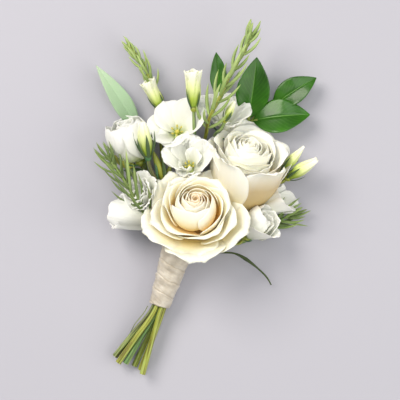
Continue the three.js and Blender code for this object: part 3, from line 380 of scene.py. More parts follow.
# Long soft leaf: pale grey-green and silky, with fine parallel veins.
def paleLeafMaterial():
    material, tree, shader = newMaterial("paleSoftLeaf", 0.5, 0.35, Subsurface_Weight=0.25,
                                         Subsurface_Scale=0.001, Subsurface_Radius=(0.6, 0.9, 0.5))
    along, across = (addNode(tree, attributeKind, output="Fac", attribute_name=name)
                     for name in ("along", "across"))
    lines = addNode(tree, mathKind, {0: across, 1: 38.0}, operation="MULTIPLY")
    lines = addNode(tree, mathKind, {0: lines}, operation="SINE")
    colour = addNode(tree, rampKind, {"Fac": along}, stops=[
        (0.0, "#8FAC88"), (0.5, "#A3BE9C"), (1.0, "#B9CDB0")])
    lined = addNode(tree, mathKind, {0: lines, 1: 0.08, 2: 0.1}, operation="MULTIPLY_ADD")
    colour = addNode(tree, mixKind, {0: lined, 6: colour, 7: hexColour("#7FA683")}, 2, data_type="RGBA")
    tree.links.new(colour, shader.inputs["Base Color"])
    bump = addNode(tree, bumpKind, {"Height": lines, "Strength": 0.15, "Distance": 0.0002}, "Normal")
    tree.links.new(bump, shader.inputs["Normal"])
    return material


# Stigma and stamens: soft and dusty, yellow-green with paler tips.
def pistilMaterial():
    material, tree, shader = newMaterial("dustyPistil", 0.65, 0.3)
    along = addNode(tree, attributeKind, output="Fac", attribute_name="along")
    place = addNode(tree, "ShaderNodeTexCoord", output="Object")
    colour = addNode(tree, rampKind, {"Fac": along}, stops=[
        (0.0, "#6F8420"), (0.6, "#93A02E"), (1.0, "#CFC25E")])
    tree.links.new(colour, shader.inputs["Base Color"])
    dust = addNode(tree, noiseKind, {"Vector": place, "Scale": 2500.0, "Detail": 2.0})
    bump = addNode(tree, bumpKind, {"Height": dust, "Strength": 0.5, "Distance": 0.0002}, "Normal")
    tree.links.new(bump, shader.inputs["Normal"])
    return material


# Dry grass blade: dull olive, darker and paler in patches.
def grassMaterial():
    material, tree, shader = newMaterial("dryGrassBlade", 0.6, 0.35)
    place = addNode(tree, "ShaderNodeTexCoord", output="Object")
    patches = addNode(tree, noiseKind, {"Vector": place, "Scale": 250.0, "Detail": 3.0})
    colour = addNode(tree, rampKind, {"Fac": patches}, stops=[
        (0.2, "#2F3D20"), (0.6, "#46552C"), (0.9, "#6E7A44")])
    tree.links.new(colour, shader.inputs["Base Color"])
    fibres = addNode(tree, noiseKind, {"Vector": place, "Scale": 900.0, "Detail": 3.0})
    bump = addNode(tree, bumpKind, {"Height": fibres, "Strength": 0.3, "Distance": 0.0003}, "Normal")
    tree.links.new(bump, shader.inputs["Normal"])
    return material


# Crepe paper tape: stretched matt green paper with fine crosswise wrinkles.
def tapeMaterial():
    material, tree, shader = newMaterial("crepeTape", 0.85, 0.2)
    place = addNode(tree, "ShaderNodeTexCoord", output="Object")
    patches = addNode(tree, noiseKind, {"Vector": place, "Scale": 700.0, "Detail": 4.0})
    colour = addNode(tree, rampKind, {"Fac": patches}, stops=[(0.3, "#6E8350"), (0.7, "#8FA270")])
    tree.links.new(colour, shader.inputs["Base Color"])
    wrinkles = addNode(tree, noiseKind, {"Vector": place, "Scale": 1200.0, "Detail": 4.0})
    bump = addNode(tree, bumpKind, {"Height": wrinkles, "Strength": 0.6, "Distance": 0.0004}, "Normal")
    tree.links.new(bump, shader.inputs["Normal"])
    return material


# Cream satin ribbon: fine glossy threads along the band, pulled into soft creases where it is wound, with a
# brownish painted shade in the folds and beside each turn's raised edge.
def satinMaterial():
    material, tree, shader = newMaterial("creamSatin", 0.42, 0.4, Sheen_Weight=0.25, Sheen_Roughness=0.35,
                                         Subsurface_Weight=0.15, Subsurface_Scale=0.001,
                                         Subsurface_Radius=(1.0, 0.8, 0.6))
    fold, wound = (addNode(tree, attributeKind, output="Fac", attribute_name=name)
                   for name in ("crease", "wound"))
    place = addNode(tree, "ShaderNodeTexCoord", output="Object")
    patches = addNode(tree, noiseKind, {"Vector": place, "Scale": 260.0, "Detail": 4.0})
    colour = addNode(tree, rampKind, {"Fac": patches}, stops=[
        (0.25, "#B0A89A"), (0.5, "#C5BDAF"), (0.8, "#DCD6CA")])
    # painted shade: crease darkens the satin in its folds and beside each turn's raised edge
    shaded = addNode(tree, mathKind, {0: fold, 1: 0.5}, operation="MULTIPLY")
    colour = addNode(tree, mixKind, {0: shaded, 6: colour, 7: hexColour("#93846C")}, 2, data_type="RGBA")
    tree.links.new(colour, shader.inputs["Base Color"])
    # threads lie 0.35 mm apart, coarser than real ones so that they show
    threads = addNode(tree, mathKind, {0: wound, 1: 18.0}, operation="MULTIPLY")
    threads = addNode(tree, mathKind, {0: threads}, operation="SINE")
    height = addNode(tree, mathKind, {0: threads, 1: 0.12, 2: patches}, operation="MULTIPLY_ADD")
    bump = addNode(tree, bumpKind, {"Height": height, "Strength": 0.3, "Distance": 0.0005}, "Normal")
    tree.links.new(bump, shader.inputs["Normal"])
    return material


finish = {
    "ivory": rosePetalMaterial(), "white": lisianthusMaterial(), "budWhite": budMaterial(),
    "stemGreen": stemMaterial(), "rosemaryGreen": rosemaryMaterial(), "glossyGreen": glossyLeafMaterial(),
    "paleGreen": paleLeafMaterial(), "pistilGreen": pistilMaterial(), "grassGreen": grassMaterial(),
    "tapeGreen": tapeMaterial(), "ribbonCream": satinMaterial(),
}
print("materials ready:", len(finish))


# Meshes. A part is a dictionary of points in picture millimetres, faces, and for each attribute that a
# material reads one number for all points or one for each.

attributeNames = ("along", "across", "ring", "dorsal", "tone", "crease", "grown")
wellGrown = 5.0  # mm from a stem's start, past the pale cut end, for what isn't a stem


def storeNumbers(mesh, key, values):
    layer = mesh.attributes.new(key, "FLOAT", "POINT")
    layer.data.foreach_set("value", np.asarray(values, np.float32))


def buildObject(name, parts, material):
    points, faces, values, start = [], [], {key: [] for key in attributeNames}, 0
    for part in parts:
        count = len(part["points"])
        points.append(toFrame(part["points"]))
        faces.extend([tuple(corner + start for corner in face) for face in part["faces"]])
        for key in attributeNames:
            values[key].append(np.broadcast_to(np.asarray(part.get(key, 0.0), float), (count,)))
        start += count
    mesh = bpy.data.meshes.new(name)
    mesh.from_pydata(np.concatenate(points).tolist(), [], faces)
    for key in attributeNames:
        storeNumbers(mesh, key, np.concatenate(values[key]))
    mesh.polygons.foreach_set("use_smooth", np.ones(len(mesh.polygons), bool))
    mesh.materials.append(material)
    mesh.update()
    shape = bpy.data.objects.new(name, mesh)
    scene.collection.objects.link(shape)
    return shape


def joinObjects(name, shapes):
    with bpy.context.temp_override(active_object=shapes[0], object=shapes[0], selected_objects=shapes,
                                   selected_editable_objects=shapes):
        bpy.ops.object.join()
    shapes[0].name = name
    return shapes[0]


def handIn(shape, node):
    places = np.empty(len(shape.data.vertices) * 3, np.float32)
    shape.data.vertices.foreach_get("co", places)
    places[2::3] = np.maximum(places[2::3], 0)  # pressed flat where it lies on the table
    shape.data.vertices.foreach_set("co", places)
    shape.data.update()
    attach(shape, "root")
    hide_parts(node)


lying = {"height": 0.4, "ease": 0.5}  # mm off the table where a skin lies on it, and how softly it bends down


# A thin closed skin along surface(u, v), u from -1 to 1 across and v from 0 to 1 along, as thick and fine as
# skin says. It is thinner at its edges, and where it would go through the table it lies down on it.
def skinPart(surface, skin, **values):
    columns, rows = skin["cells"]
    u, v = np.meshgrid(np.linspace(-1, 1, columns + 1), np.linspace(0, 1, rows + 1))
    middle = surface(u, v)
    above = (middle[..., 2] - lying["height"]) / lying["ease"]
    middle[..., 2] = lying["height"] + lying["ease"] * np.logaddexp(0, above)
    normal = np.cross(np.gradient(middle, axis=1), np.gradient(middle, axis=0))
    normal /= np.maximum(np.linalg.norm(normal, axis=-1, keepdims=True), 1e-9)
    rim = np.minimum(np.minimum(1 - np.abs(u), 0.12) / 0.12, np.minimum(1 - v, 0.1) / 0.1)
    half = skin["thickness"] / 2 * (0.35 + 0.65 * np.sqrt(rim))[..., None]
    over, under = (middle + normal * half).reshape(-1, 3), (middle - normal * half).reshape(-1, 3)
    width, below = columns + 1, len(over)
    cell = (np.arange(rows)[:, None] * width + np.arange(columns)).ravel()
    top = np.stack([cell, cell + 1, cell + width + 1, cell + width], -1)
    faces = [tuple(face) for face in top.tolist()]
    faces += [tuple(face[::-1]) for face in (top + below).tolist()]
    edge = list(range(columns)) + [i * width + columns for i in range(rows)]
    edge += [rows * width + j for j in range(columns, 0, -1)] + [i * width for i in range(rows, 0, -1)]
    faces += [(a, a + below, b + below, b) for a, b in zip(edge, edge[1:] + edge[:1])]
    dorsal = np.concatenate([np.ones(below), np.zeros(below)])
    return {"points": np.concatenate([over, under]), "faces": faces, "dorsal": dorsal,
            "along": np.tile(v.ravel(), 2), "across": np.tile(u.ravel(), 2), **values}


# Four-sided faces from each of so many rings of points to the ring after it. After the last of all
# comes the first.
def ringFaces(steps, sides, total):
    near = (np.arange(steps)[:, None] * sides + np.arange(sides)).ravel()
    after = (np.arange(steps)[:, None] * sides + (np.arange(sides) + 1) % sides).ravel()
    corners = [near, after, (after + sides) % total, (near + sides) % total]
    return [tuple(face) for face in np.stack(corners, -1).tolist()]


# Rings of points joined into a closed skin, counterclockwise round the way from the first to the last.
def loftPart(rings, **values):
    rings = np.asarray(rings, float)
    count, sides = rings.shape[:2]
    faces = ringFaces(count - 1, sides, count * sides)
    faces += [tuple(range(sides))[::-1], tuple(range((count - 1) * sides, count * sides))]
    return {"points": rings.reshape(-1, 3), "faces": faces, **values}


# A flower's own axes, right, back and up, as columns, and its base.
def flowerAxes(flower):
    up = np.array(flower["axis"], float)
    up /= np.linalg.norm(up)
    right = np.array([1.0, 0, 0]) - up * up[0]
    right /= np.linalg.norm(right)
    return np.stack([right, np.cross(up, right), up], -1), np.array(flower["base"], float)


def placeIn(flower, points):
    axes, base = flowerAxes(flower)
    return np.asarray(points) @ axes.T + base


# A solid turned round the flower's axis from [radius, height] pairs.
def turnedPart(flower, profile, sides=24, **values):
    turn = np.linspace(0, 2 * math.pi, sides, endpoint=False)
    rings = [np.stack([np.cos(turn) * r, np.sin(turn) * r, np.full(sides, z)], -1) for r, z in profile]
    share = np.repeat(np.linspace(0, 1, len(profile)), sides)
    return loftPart([placeIn(flower, ring) for ring in rings], **{"along": share, **values})


# Petals

petalDefaults = {
    "roll": 0, "tipCurl": 25, "foot": (1.5, 0), "spiral": 0, "cup": 0, "curl": 0, "ruffle": 0, "waves": 3,
    "frill": 0, "phase": 0, "maxWrap": 1.5, "widest": 0.7, "waist": 0.12, "shoulder": 0.2, "shear": 0,
    "ring": 1, "sway": 0.12, "paintedFootShade": 0,
}
# shares of the length, or of the half width for curl, beyond which each of these acts
petalZones = {"roll": 0.75, "tipCurl": 0.9, "curl": 0.55, "frill": 0.66}


# How far a value is past a start, as a share of the way from there to 1.
def past(value, start):
    return np.maximum(0, (value - start) / (1 - start))


# The midline leans from the axis by the three lean angles at its foot, middle and tip, roll turns the last
# quarter out and tipCurl the very rim. The petal wraps round the axis and shear leans its top to the back.
# Ruffle waves the whole petal, frill crinkles its rim and sway keeps two petals from being alike.
def petalSurface(p):
    steps = 96
    lean0, lean1, lean2 = p["lean"]

    def angleAt(v):
        degrees = lean0 * 2 * (v - 0.5) * (v - 1) + lean1 * 4 * v * (1 - v) + lean2 * 2 * v * (v - 0.5)
        degrees = degrees + p["roll"] * past(v, petalZones["roll"]) ** 2
        return np.radians(degrees + p["tipCurl"] * past(v, petalZones["tipCurl"]) ** 2)

    stations = np.linspace(0, 1, steps + 1)
    middles = angleAt((stations[:-1] + stations[1:]) / 2)
    outs = p["foot"][0] + np.concatenate([[0], np.cumsum(np.sin(middles))]) * p["length"] / steps
    ups = p["foot"][1] + np.concatenate([[0], np.cumsum(np.cos(middles))]) * p["length"] / steps

    def surface(u, v):
        side = np.abs(u)
        # its rim is never quite even, and it widens to where it is widest and narrows again beyond
        uneven = 1 - 0.012 * (1 + np.sin(8.3 * u + 2.7 * p["phase"])) * v
        uneven = uneven - 0.015 * p["frill"] * (1 + np.sin(21 * u + 1.3 * p["phase"]))
        reached = v * (1 - p["shoulder"] * side ** 3) * uneven
        angle = angleAt(reached)
        opened = 0.5 - 0.5 * np.cos(np.minimum(1, reached / p["widest"]) * math.pi)
        closed = 1 - 0.4 * past(reached, p["widest"]) ** 2
        half = p["halfWidth"] * (p["waist"] + (1 - p["waist"]) * opened) * closed
        lift = p["cup"] * u * u * reached - p["curl"] * past(side, petalZones["curl"]) ** 2 * reached
        lift = lift + p["spiral"] * u * np.minimum(1, reached / 0.2)
        waving = np.sin(p["waves"] * math.pi * u + p["phase"])
        lift = lift + p["ruffle"] * reached ** 2 * (0.3 + 0.7 * side) * waving
        lift = lift + p["sway"] * reached * (np.sin(3.1 * u + 5.1 * reached + 3 * p["phase"])
                                             + 0.5 * np.sin(7.3 * u - 4.2 * reached + 1.7 * p["phase"]))
        atRim = past(np.maximum(reached, v * side), petalZones["frill"]) ** 1.4
        crinkle = np.sin(17 * u + 2 * p["phase"]) + 0.6 * np.sin(27 * u + p["phase"])
        lift = lift + p["frill"] * atRim * crinkle
        r = np.interp(reached, stations, outs)
        z = np.interp(reached, stations, ups)
        turn = math.radians(p["azimuth"]) + np.clip(half / np.maximum(r, 1), 0, p["maxWrap"]) * u
        out = r - np.cos(angle) * lift
        height = z + np.sin(angle) * lift
        return np.stack([np.cos(turn) * out, np.sin(turn) * out + p["shear"] * height, height], -1)

    return surface


# A ring of like petals. Each may differ from the rule by what own says for its number.
def ringOf(count, start, shape, own=None):
    return [{**shape, "azimuth": start + i * 360 / count, "phase": i * 2.1 + start * 0.1,
             **(own or {}).get(i, {})} for i in range(count)]


def bloomParts(flower, skin, seed):
    rng = random.Random(seed)
    parts = []
    for petal in flower["petals"]:
        p = {**petalDefaults, **petal}
        surface = petalSurface(p)
        # a rose petal's painted shade at its foot is carried in crease
        parts.append(skinPart(lambda u, v: placeIn(flower, surface(u, v)), skin, ring=p["ring"],
                              crease=p["paintedFootShade"], tone=rng.random() * min(1, p["ring"])))
    radius, height = flower["core"]
    bulb = [(radius * 0.3, 0), (radius * 0.8, 0.1), (radius, height * 0.25), (radius * 0.75, height * 0.7),
            (radius * 0.2, height)]
    parts.append(turnedPart(flower, bulb, along=0.15))
    return parts


# Roses. From the heart out the petals get longer and lean further open, and the outer ones roll back.

roseSkin = {"thickness": 0.36, "cells": (34, 26)}
rosePetals = {
    "heart": {"length": 13.8, "halfWidth": 4.4, "lean": (22, 3, -6), "foot": (0.5, 6.2), "spiral": 0.7,
              "maxWrap": 2.4, "ring": 0.04, "tipCurl": 10, "sway": 0.1},
    "folded": {"length": 14.8, "halfWidth": 6.4, "lean": (44, 6, -18), "foot": (0.8, 5.6), "spiral": 0.9,
               "maxWrap": 1.9, "ring": 0.1, "tipCurl": 15, "sway": 0.2},
    "furled": {"length": 16.8, "halfWidth": 9, "lean": (66, 10, -30), "foot": (1.1, 4.8), "spiral": 1.1,
               "maxWrap": 1.7, "ring": 0.24, "tipCurl": 20, "sway": 0.25},
    "bud": {"length": 19.6, "halfWidth": 13.5, "lean": (82, 19, -40), "foot": (1.3, 4), "spiral": 1.2,
            "maxWrap": 1.5, "ring": 0.42, "tipCurl": 30, "sway": 0.15},
    "inner": {"length": 20.6, "halfWidth": 13, "lean": (86, 31, -8), "roll": 30, "foot": (1.5, 3.2),
              "spiral": 1.1, "maxWrap": 1.5, "ring": 0.55, "curl": 0.3, "sway": 0.25},
    "cup": {"length": 21, "halfWidth": 13.5, "lean": (84, 34, 4), "roll": 80, "foot": (1.6, 2.8),
            "spiral": 1.0, "curl": 0.6, "ruffle": 0.2, "ring": 0.7, "sway": 0.3},
    "middle": {"length": 22.5, "halfWidth": 13, "lean": (82, 42, 22), "roll": 90, "foot": (1.8, 1.6),
               "spiral": 0.9, "curl": 1.2, "ruffle": 0.5, "ring": 0.85, "sway": 0.45, "paintedFootShade": 0.08,
               "frill": 0.14},
    "outer": {"length": 26.5, "halfWidth": 14, "lean": (86, 56, 42), "roll": 100, "foot": (2, 0),
              "spiral": 0.8, "curl": 1.8, "ruffle": 0.8, "ring": 1.0, "sway": 0.5, "paintedFootShade": 0.2,
              "frill": 0.24},
}
# The back rose's two long outer petals start low on its hip and make it a goblet.
gobletPetal = {**rosePetals["outer"], "halfWidth": 13, "foot": (5, -12), "widest": 0.6, "waist": 0.3,
               "ruffle": 0.3, "spiral": -0.6, "curl": 0.6, "ring": 1.35}
roses = {
    "frontRosePetals": {
        "base": (8.9, 12.4, 16.2), "axis": (-0.02, 0.53, 0.85), "core": (3.2, 13),
        "petals": [
            *ringOf(3, 37, {**rosePetals["heart"], "shear": 0.16}),
            *ringOf(4, 75, {**rosePetals["folded"], "shear": 0.16}),
            *ringOf(4, 25, {**rosePetals["furled"], "shear": 0.15}),
            *ringOf(4, -88, {**rosePetals["bud"], "shear": 0.14}, {
                0: {"length": 20.8, "halfWidth": 15, "lean": (83, 20, -44)}}),
            *ringOf(3, -15, {**rosePetals["inner"], "shear": 0.1}, {1: {"azimuth": 65}, 2: {"azimuth": 150}}),
            *ringOf(5, -66, {**rosePetals["cup"], "shear": 0.06}, {
                0: {"lean": (86, 40, 16), "roll": 115, "sway": 0.1},
                4: {"lean": (86, 40, 16), "roll": 115, "sway": 0.1}}),
            *ringOf(5, -98, rosePetals["middle"], {
                0: {"lean": (88, 62, 50), "roll": 60},
                1: {"lean": (82, 44, 26)},
                2: {"lean": (78, 34, 14)},
                4: {"lean": (84, 50, 34)}}),
            *ringOf(5, -90, rosePetals["outer"], {2: {"lean": (82, 48, 34)}, 3: {"lean": (82, 50, 36)}}),
        ],
    },
    "backRosePetals": {
        "base": (29.5, 31.8, 9), "axis": (0.19, 0.78, 0.6), "core": (3, 13),
        "petals": [
            *ringOf(3, 10, {**rosePetals["heart"], "length": 14.2, "ring": 1.2, "shear": 0.2}),
            *ringOf(4, 40, {**rosePetals["folded"], "length": 15.4, "ring": 1.25, "shear": 0.2}),
            *ringOf(4, 0, {**rosePetals["furled"], "length": 17, "ring": 1.3, "shear": 0.19}),
            *ringOf(4, 80, {**rosePetals["bud"], "length": 20.6, "ring": 1.35, "shear": 0.17}),
            *ringOf(3, -70, {**rosePetals["inner"], "length": 22, "lean": (76, 20, -6), "halfWidth": 14,
                             "ring": 1.35, "shear": 0.12}),
            *ringOf(4, -95, {**rosePetals["cup"], "length": 24.5, "lean": (86, 32, -2), "halfWidth": 15,
                             "ring": 1.35, "shear": 0.08}, {0: {"length": 21.6, "lean": (84, 26, -10)}}),
            *ringOf(5, -118, {**rosePetals["middle"], "foot": (1.8, 1), "length": 26, "halfWidth": 15,
                              "lean": (90, 41, -2), "roll": 75, "ring": 1.35, "paintedFootShade": 0.1}, {
                0: {"length": 21.2, "lean": (84, 26, -10)},
                1: {"length": 21, "lean": (84, 25, -10), "roll": 50},
                3: {"length": 29.5, "lean": (90, 37, -6), "roll": 40}}),
            {**gobletPetal, "azimuth": -58, "length": 39, "waist": 0.2, "lean": (60, 13, 6), "roll": 80,
             "spiral": -0.2, "paintedFootShade": 0.75},
            {**gobletPetal, "azimuth": -136, "length": 40.5, "halfWidth": 14, "lean": (60, 13, 0), "roll": 80,
             "ruffle": 0.5, "spiral": -0.9, "paintedFootShade": 0.24},
        ],
    },
}
for number, (name, rose) in enumerate(roses.items()):
    shape = buildObject(name + "Bloom", bloomParts(rose, roseSkin, number), finish["ivory"])
    handIn(shape, name)
print("roses ready:", sum(len(rose["petals"]) for rose in roses.values()), "petals")


# Lisianthus: open cups with wavy, lightly frilled petals, and half-closed ones like small tulips.

lisianthusSkin = {"thickness": 0.3, "cells": (34, 22)}
openPetal = {"length": 17, "halfWidth": 8, "lean": (24, 46, 72), "roll": 20, "foot": (1, 0.3), "ruffle": 0.6,
             "spiral": 0.6, "cup": 0.8, "widest": 0.75, "waist": 0.08, "maxWrap": 1.2, "tipCurl": 10,
             "frill": 0.16, "sway": 0.25}
cupPetal = {"length": 19, "halfWidth": 8.5, "lean": (60, 8, -14), "foot": (1, 0.3), "ruffle": 0.4,
            "spiral": 0.8, "widest": 0.65, "waist": 0.08, "maxWrap": 1.3, "tipCurl": 35, "frill": 0.14,
            "sway": 0.25}
blooms = {
    "leftBloom": {
        "base": (-16.6, 42.2, 8.8), "axis": (-0.34, 0.86, 0.32), "core": (2.6, 12),
        "petals": [
            *ringOf(3, 20, {**cupPetal, "length": 17, "halfWidth": 8, "lean": (46, 6, -14),
                            "foot": (0.8, 3.4), "ruffle": 0.2, "maxWrap": 1.9}),
            *ringOf(5, -100, {**cupPetal, "length": 22.8, "halfWidth": 12.5, "lean": (76, 14, -36),
                              "spiral": 1.0, "ruffle": 0.15, "frill": 0.05, "sway": 0.15, "tipCurl": 8}, {
                3: {"length": 23.4, "lean": (78, 16, -32)},
                4: {"length": 24, "lean": (80, 19, -30)},
            }),
        ],
    },
    "topBloom": {
        "base": (1.2, 51.4, 8.5), "axis": (-0.12, 0.5, 0.86), "core": (2, 4.5),
        "petals": ringOf(5, 44, {**openPetal, "length": 18.5, "halfWidth": 9.5}, {
            0: {"azimuth": 40, "length": 21, "halfWidth": 10.5},
            1: {"azimuth": 112},
            2: {"azimuth": 178, "length": 17.5, "lean": (26, 52, 66), "halfWidth": 10.5},
            3: {"azimuth": 240, "length": 13, "cup": 1.4},
            4: {"azimuth": 300, "length": 9, "halfWidth": 5.5},
        }),
    },
    "middleBloom": {
        "base": (6.4, 36, 9), "axis": (-0.08, 0.5, 0.86), "core": (2, 4.5),
        "petals": [
            *ringOf(5, 20, {**openPetal, "length": 19.4, "halfWidth": 10.8, "lean": (22, 34, 50),
                            "frill": 0.4}, {
                3: {"length": 11, "halfWidth": 7},
                4: {"length": 11, "halfWidth": 7},
            }),
            *ringOf(2, 50, {**openPetal, "length": 12, "halfWidth": 6, "lean": (14, 18, 26), "foot": (1.9, 3),
                            "frill": 0.3}, {1: {"length": 9}}),
        ],
    },
    "upperRightBloom": {
        "base": (21.5, 54.5, 6.5), "axis": (0.1, 0.82, 0.56), "core": (2, 4.5),
        "petals": ringOf(5, 90, {**openPetal, "length": 16.6, "halfWidth": 8.6, "lean": (20, 40, 56),
                                 "frill": 0.28}, {
            0: {"length": 18, "halfWidth": 10},
            1: {"length": 20, "halfWidth": 11, "lean": (22, 44, 56)},
            2: {"length": 12, "halfWidth": 6.4},
            3: {"length": 12, "halfWidth": 6.4},
        }),
    },
    "smallLeftBloom": {
        "base": (-10.6, 24.6, 10), "axis": (-0.6, 0.36, 0.7), "core": (1.4, 5),
        "petals": [
            *ringOf(5, 10, {**openPetal, "length": 13.4, "halfWidth": 7.4, "lean": (44, 40, 52),
                            "frill": 0.3}),
            *ringOf(5, 40, {**openPetal, "length": 12.6, "halfWidth": 6, "lean": (34, 22, 26),
                            "frill": 0.35}),
            *ringOf(3, 20, {**openPetal, "length": 11.8, "halfWidth": 5, "lean": (20, 8, 6),
                            "frill": 0.35}),
            *ringOf(4, 70, {**openPetal, "length": 9, "halfWidth": 5, "lean": (40, 24, 30),
                            "frill": 0.4, "foot": (0.8, 4.4), "maxWrap": 1.6}),
            *ringOf(3, 10, {**openPetal, "length": 7.6, "halfWidth": 4, "lean": (24, 6, 0),
                            "frill": 0.4, "foot": (0.5, 5.4), "maxWrap": 1.9}),
        ],
    },
    "lowerLeftBloom": {
        "base": (-5.6, 14, 8.4), "axis": (-0.9, 0.2, 0.34), "core": (1.5, 6),
        "petals": [
            {**openPetal, "azimuth": -28, "length": 30, "halfWidth": 11, "lean": (28, 10, -8), "ruffle": 0.3,
             "phase": 1, "spiral": 0.2, "tipCurl": 15, "frill": 0.06},
            {**openPetal, "azimuth": -105, "length": 25, "halfWidth": 10, "lean": (34, 12, 0), "ruffle": 0.4,
             "phase": 4, "frill": 0.08},
            {**openPetal, "azimuth": 60, "length": 24, "halfWidth": 8, "lean": (24, 14, 20), "phase": 2},
            {**openPetal, "azimuth": 176, "length": 24, "halfWidth": 9.5, "lean": (30, 16, 12), "ruffle": 0.5,
             "phase": 3},
        ],
    },
    "rightBloom": {
        "base": (31.6, 8.2, 10), "axis": (0.62, 0.6, 0.5), "core": (2, 8),
        "petals": [
            *ringOf(4, -60, {**cupPetal, "length": 18.4, "halfWidth": 10.6, "lean": (64, 12, -30),
                             "ruffle": 0.3, "frill": 0.1}, {
                0: {"lean": (58, 30, 24), "roll": 30, "length": 17},
            }),
            *ringOf(3, -95, {**cupPetal, "length": 15.5, "halfWidth": 7, "lean": (46, 6, -24), "frill": 0.3}),
        ],
    },
    "rearRightBloom": {
        "base": (37, 20.6, 6), "axis": (0.88, 0.34, 0.34), "core": (2, 6),
        "petals": ringOf(4, -75, {**openPetal, "length": 17.4, "halfWidth": 9.4, "lean": (42, 18, 16),
                                  "frill": 0.12}, {
            2: {"length": 15},
            3: {"length": 14},
        }),
    },
}
for number, (name, flower) in enumerate(blooms.items()):
    shape = buildObject(name + "Petals", bloomParts(flower, lisianthusSkin, 20 + number), finish["white"])
    handIn(shape, name)
print("lisianthus ready:", len(blooms))


# Buds: petals furled shut, each one's edge standing over the next one's. Two have opened at the top, with a
# wavy rim round a hollow.

closedGirth = (0.45, 0.85, 1, 0.9, 0.7, 0.4)
flaredGirth = (0.5, 0.85, 0.95, 0.9, 0.98, 1.2)
buds = {
    "leftTopBud": {"base": (-6.6, 65.4, 8.5), "axis": (-0.46, 0.84, 0.28), "length": 14, "radius": 3,
                   "girth": flaredGirth, "open": True},
    "tallBud": {"base": (7.8, 65.6, 21), "axis": (-0.02, 0.97, 0.22), "length": 15.8, "radius": 3.3,
                "girth": flaredGirth, "open": True},
    "middleLeftBud": {"base": (-12.6, 44, 20.6), "axis": (-0.16, 0.95, 0.28), "length": 15, "radius": 3,
                      "girth": closedGirth},
    "tuckedBud": {"base": (22.2, 60.4, 19.5), "axis": (0.42, 0.86, 0.3), "length": 8.5, "radius": 1.7,
                  "girth": closedGirth},
    "rightUpperBud": {"base": (48, 37.8, 12), "axis": (0.56, 0.66, 0.5), "length": 15, "radius": 2.3,
                      "girth": (0.4, 0.8, 1, 0.8, 0.5, 0.2)},
    "rightLowerBud": {"base": (50.6, 34.6, 12), "axis": (0.74, 0.48, 0.47), "length": 15.5, "radius": 2.9,
                      "girth": closedGirth},
}
furl = {
    "petals": 4, "twist": 80, "advance": 0.55,  # degrees turned by the tip, and the seams' lead in petals
    "step": 0.15, "seam": 0.86,                 # an edge's height, and where it drops to the next petal
    "sides": 60, "rings": 40,
}
budHollow = ((0.35, 0.1), (0.55, 0.6), (0.7, 1.8), (0.95, 3.2), (1.9, 4.4), (2.8, 4.8))  # mm in, mm down


def budPart(bud):
    around = np.linspace(0, 2 * math.pi, furl["sides"], endpoint=False)
    stops = np.linspace(0, 1, len(bud["girth"]))
    levels = [(level, 0, 0) for level in np.linspace(0, 1, furl["rings"])]
    if bud.get("open"):
        levels += [(1, inset, drop) for inset, drop in budHollow]
    else:
        levels.append((1, bud["radius"] * bud["girth"][-1] * 0.6, -0.35))
    rings, along, crease = [], [], []
    for level, inset, drop in levels:
        near = [min(max(level + step, 0), 1) for step in (-0.08, 0, 0.08)]
        share = np.mean([np.interp(place, stops, bud["girth"]) for place in near])
        phase = (around * furl["petals"] / (2 * math.pi) + level * furl["advance"]) % 1
        edge = np.clip(phase / furl["seam"], 0, 1) - past(phase, furl["seam"])
        swell = furl["step"] * (0.5 + level) * (edge - 0.5)
        wave, lip = 0.0, 0.0
        if bud.get("open"):
            wave = past(level, 0.7) * (0.1 * np.sin(5 * around + 1.3) + 0.05 * np.sin(11 * around))
            lip = past(level, 0.8) * (0.34 * np.sin(4 * around + 0.6) + 0.16 * np.sin(9 * around))
        r = bud["radius"] * (share * (1 + 0.05 * level * np.cos(3 * around)) + swell + wave) - inset
        turn = around + math.radians(furl["twist"] * level)
        z = level * bud["length"] - drop + lip
        heights = np.broadcast_to(z, r.shape)
        rings.append(placeIn(bud, np.stack([np.cos(turn) * r, np.sin(turn) * r, heights], -1)))
        # painted shade: the seams where one petal's edge overlaps the next and an open bud's hollow carry
        # crease, and the hollow a lower along, which greens and darkens it
        hollow = drop / 5 if inset and drop > 0 else 0
        along.append(np.full(furl["sides"], level - 0.6 * hollow))
        seam = np.clip(1 - phase / 0.12, 0, 1) * min(1, 1.4 * level + 0.3)
        crease.append(seam * (1 - hollow) + hollow * 0.6)
    return loftPart(rings, along=np.concatenate(along), crease=np.concatenate(crease))


for name, bud in buds.items():
    handIn(buildObject(name + "Furled", [budPart(bud)], finish["budWhite"]), name)
print("buds ready:", len(buds))


# Geometry Nodes for what follows a path or is set on points: round stems and slender leaves.

def newTree(name, inputs):
    tree = bpy.data.node_groups.new(name, "GeometryNodeTree")
    tree.interface.new_socket("Geometry", in_out="INPUT", socket_type="NodeSocketGeometry")
    tree.interface.new_socket("Geometry", in_out="OUTPUT", socket_type="NodeSocketGeometry")
    for label, kind, value in inputs:
        socket = tree.interface.new_socket(label, in_out="INPUT", socket_type=kind)
        if value is not None:
            socket.default_value = value
    return tree, tree.nodes.new("NodeGroupInput").outputs, tree.nodes.new("NodeGroupOutput").inputs


def runTree(name, mesh, tree, values):
    shape = bpy.data.objects.new(name, mesh)
    scene.collection.objects.link(shape)
    modifier = shape.modifiers.new("grow", "NODES")
    modifier.node_group = tree
    for item in tree.interface.items_tree:
        if item.in_out == "INPUT" and item.name in values:
            modifier[item.identifier] = values[item.name]
    bpy.context.view_layer.update()
    evaluated = shape.evaluated_get(bpy.context.evaluated_depsgraph_get())
    result = bpy.data.meshes.new_from_object(evaluated)
    shape.modifiers.clear()
    shape.data = result
    return shape


namedKind, vectorKind, storeKind = ("GeometryNodeInputNamedAttribute", "ShaderNodeVectorMath",
                                    "GeometryNodeStoreNamedAttribute")


